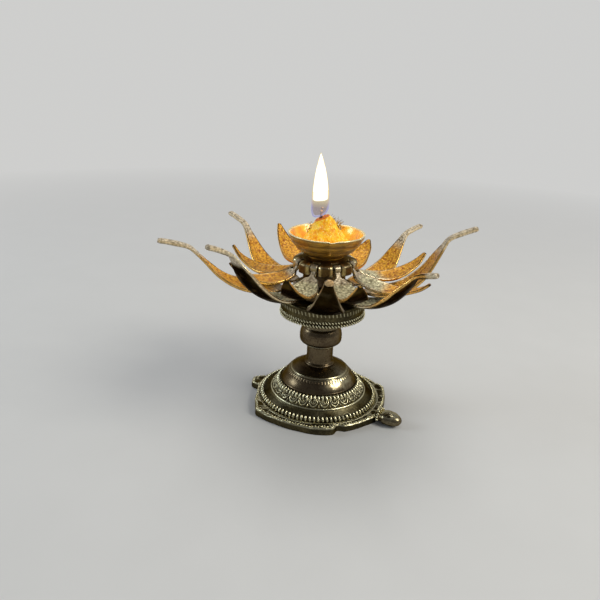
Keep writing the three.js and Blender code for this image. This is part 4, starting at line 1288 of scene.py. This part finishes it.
def wick_material():
    """Charred cotton that glows orange at its end."""
    sheet, shader, material = plain_material(
        "burning wick", colour(0.10, 0.06, 0.035), colour(0.30, 0.18, 0.09), 1500.0, 0.9)
    glow = sheet.mix(sheet.mask("ember"), BLACK, colour(1.0, 0.50, 0.14))
    sheet.feed(shader, {"Emission Color": glow, "Emission Strength": 3.0})
    return material


def wick_patch():
    """The wick's end: two twisted threads in a tapering column, with a bent tip and glowing points."""
    t = np.linspace(0, 1, 50)[:, None]
    a = angles(18)
    r = (0.84 - 0.30 * t) * (1 + 0.16 * np.cos(2 * (a - t * 9)))
    z = rises(low("wick_tip")[2], high("wick_tip")[2])(t) * np.ones_like(a)
    lean = 0.25 * ease(t, 0.7, 1.0)
    co = np.stack([WICK_X + r * np.cos(a) + lean, r * np.sin(a) - lean, z], axis=-1)
    co = co + 0.05 * lumps(co, 0.5, 61)[..., None]
    return grid_patch(co, ember=ease(t, 0.45, 0.95) * ease(lumps(co, 0.7, 62), -0.1, 0.4))


make("ghee_heap", ghee_patch(), ghee_material(), replaces=["ghee_cotton"])
_, _, fibre_material = plain_material(
    "stray cotton fibre", colour(0.045, 0.025, 0.012), colour(0.80, 0.58, 0.24), 420.0, 0.7)
make("loose_cotton_fibres", loose_fibres(), fibre_material)
make("wick_end", wick_patch(), wick_material(), replaces=["wick_tip"])


# Flame

def flame_patch(width, bottom, top, belly, flare, slant=0.8):
    """One skin of the flame: a drop that is widest at belly, a share of its height, and leans as it rises.
    Its bottom edge slants as the heap's top does, by the given share."""
    t = np.linspace(0.0, 1.0, 72)[:, None]
    a = angles(60)
    below = np.sin(np.clip(t / belly, 0, 1) * math.pi / 2) ** flare
    above = np.cos(np.clip((t - belly) / (1 - belly), 0, 1) * math.pi / 2) ** 0.82
    r = FLAME_RADIUS * width * np.maximum(np.where(t < belly, below, above), 0.015)
    z = rises(bottom, top)(t)
    x = FLAME_X - FLAME_TIP_SHIFT * np.clip((z - FLAME_Z) / FLAME_HEIGHT, 0, 1) ** 2 + r * np.cos(a)
    z = z - TOP_SLOPE * np.maximum(TOP_X - x, 0) * (1 - t) ** 3 * slant
    height = np.clip((z - FLAME_Z) / FLAME_HEIGHT, 0, 1)
    return grid_patch(np.stack([x, r * np.sin(a), z], axis=-1), height=height)


def flame_material(name, low_colour, high_colour, strength, thin, density, edge_density, dense_from):
    """A skin of glowing gas: its colour goes from low_colour to high_colour with height, it is thin at the
    bottom and of another density above dense_from, and thickest of all where it is seen edge on."""
    sheet, shader, material = new_material(name)
    height = sheet.mask("height")
    edge = sheet.fit(sheet.add("ShaderNodeLayerWeight", "Facing", {"Blend": 0.5}), 0.12, 0.72)
    face = sheet.fit(height, dense_from - 0.06, dense_from + 0.05, thin, density)
    sheet.feed(shader, {
        "Base Color": BLACK, "Roughness": 1.0, "Specular IOR Level": 0.0,
        "Emission Color": sheet.mix(sheet.fit(height, 0.10, 0.34), low_colour, high_colour),
        "Emission Strength": strength,
        "Alpha": sheet.sums("MAXIMUM", face, sheet.times(edge, edge_density), clamp=True),
    })
    return material


envelope = flame_material("flame envelope", colour(0.42, 0.40, 0.68), colour(1.0, 0.76, 0.30), 0.85,
                          thin=0.20, density=0.14, edge_density=0.80, dense_from=0.20)
flame_body = flame_material("flame body", colour(0.30, 0.235, 0.15), colour(1.0, 0.84, 0.36), 1.0,
                            thin=0.62, density=0.45, edge_density=0.62, dense_from=0.17)
flame_heart = flame_material("flame heart", colour(1.0, 0.90, 0.55), colour(1.0, 0.99, 0.96), 2.6,
                             thin=0.5, density=1.0, edge_density=1.0, dense_from=0.22)
body_z = FLAME_Z + 0.03 * FLAME_HEIGHT
heart_z = FLAME_Z + 0.225 * FLAME_HEIGHT
make("flame_envelope", flame_patch(1.0, FLAME_Z, FLAME_TOP_Z, 0.14, 0.22), envelope,
     replaces=["flame"])
make("flame_body_skin", flame_patch(0.90, body_z, FLAME_TOP_Z - 0.1, 0.16, 0.25), flame_body)
make("flame_heart_skin", flame_patch(0.87, heart_z, FLAME_TOP_Z - 0.5, 0.04, 0.35, 0.25), flame_heart)


# Steel below the foot

def steel_material():
    """Dull plain steel with fine scratches."""
    sheet, shader, material = new_material("dull steel")
    grain = sheet.noise(sheet.place(), 700.0, 5.0, 0.6)
    sheet.feed(shader, {
        "Base Color": sheet.mix(grain, colour(0.30, 0.29, 0.28), colour(0.50, 0.49, 0.47)), "Metallic": 1.0,
        "Roughness": sheet.fit(grain, 0.3, 0.7, 0.3, 0.5), "Normal": sheet.bump(grain, 0.03),
    })
    return material


steel = steel_material()
for node in ("stud", "washer", "retaining_nut"):
    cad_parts[node].data.materials.clear()
    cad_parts[node].data.materials.append(steel)


# Studio: places of the lamps in metres, then extent, power and tint

BACKDROP = colour(0.62, 0.62, 0.61)
OVERHEAD = colour(0.20, 0.21, 0.23)
BEHIND_CAMERA = colour(0.16, 0.165, 0.17)
FLOOR_HALF = 3.0
LAMPS = [
    ("key", (0.74, -0.30, 0.76), 0.46, 6.4, (1.0, 0.97, 0.88)),
    ("side", (-0.92, 0.02, 0.44), 0.30, 2.2, (0.78, 0.90, 1.0)),
    ("top", (-0.05, 0.32, 1.00), 0.60, 4.0, (1.0, 0.98, 0.94)),
]
LAMPS_AIM = Vector((0, 0, 0.06))


def studio_floor():
    """A pale matt floor. Near the lamp it takes light and shadow, and further off it turns evenly into the
    colour of the backdrop."""
    mesh = bpy.data.meshes.new("floor")
    corners = np.array([(-1, -1, 0), (1, -1, 0), (1, 1, 0), (-1, 1, 0)]) * FLOOR_HALF
    mesh.from_pydata(corners.tolist(), [], [(0, 1, 2, 3)])
    floor = bpy.data.objects.new("studio_floor", mesh)
    bpy.context.scene.collection.objects.link(floor)
    sheet, shader, material = new_material("pale floor")
    place = sheet.place()
    speck = sheet.noise(place, 30.0, 3.0, 0.5)
    sheet.feed(shader, {"Base Color": sheet.mix(speck, colour(0.58, 0.578, 0.57), colour(0.61, 0.608, 0.60)),
                        "Roughness": 0.7})
    distance = sheet.add("ShaderNodeVectorMath", "Value", {0: place}, operation="LENGTH")
    even = sheet.add("ShaderNodeEmission", "Emission", {"Color": BACKDROP})
    fade = sheet.add("ShaderNodeMixShader", "Shader",
                     {0: sheet.fit(distance, 0.22, 0.85), 1: shader.outputs["BSDF"], 2: even})
    sheet.feed(sheet.tree.nodes["Material Output"], {"Surface": fade})
    floor.data.materials.append(material)


def studio_light():
    """A surround that looks evenly pale, but lights the lamp less from overhead and from behind the camera,
    and three soft lamps."""
    world = bpy.data.worlds.new("studio")
    bpy.context.scene.world = world
    world.use_nodes = True
    sheet = Drawing(world.node_tree)
    toward = sheet.add("ShaderNodeTexCoord", "Generated")
    height = sheet.add("ShaderNodeSeparateXYZ", "Z", {0: toward})
    depth = sheet.add("ShaderNodeSeparateXYZ", "Y", {0: toward})
    horizon = sheet.mix(sheet.fit(depth, -0.45, 0.30), BEHIND_CAMERA, BACKDROP)
    around = sheet.mix(sheet.fit(height, 0.12, 0.80), horizon, OVERHEAD)
    seen = sheet.add("ShaderNodeLightPath", "Is Camera Ray")
    sheet.feed(world.node_tree.nodes["Background"], {"Color": sheet.mix(seen, around, BACKDROP)})
    for name, place, extent, power, tint in LAMPS:
        lamp = bpy.data.lights.new(name, "AREA")
        lamp.size = extent
        lamp.energy = power
        lamp.color = tint
        holder = bpy.data.objects.new(name, lamp)
        bpy.context.scene.collection.objects.link(holder)
        holder.location = place
        holder.rotation_euler = (LAMPS_AIM - Vector(place)).to_track_quat("-Z", "Y").to_euler()


studio_floor()
studio_light()
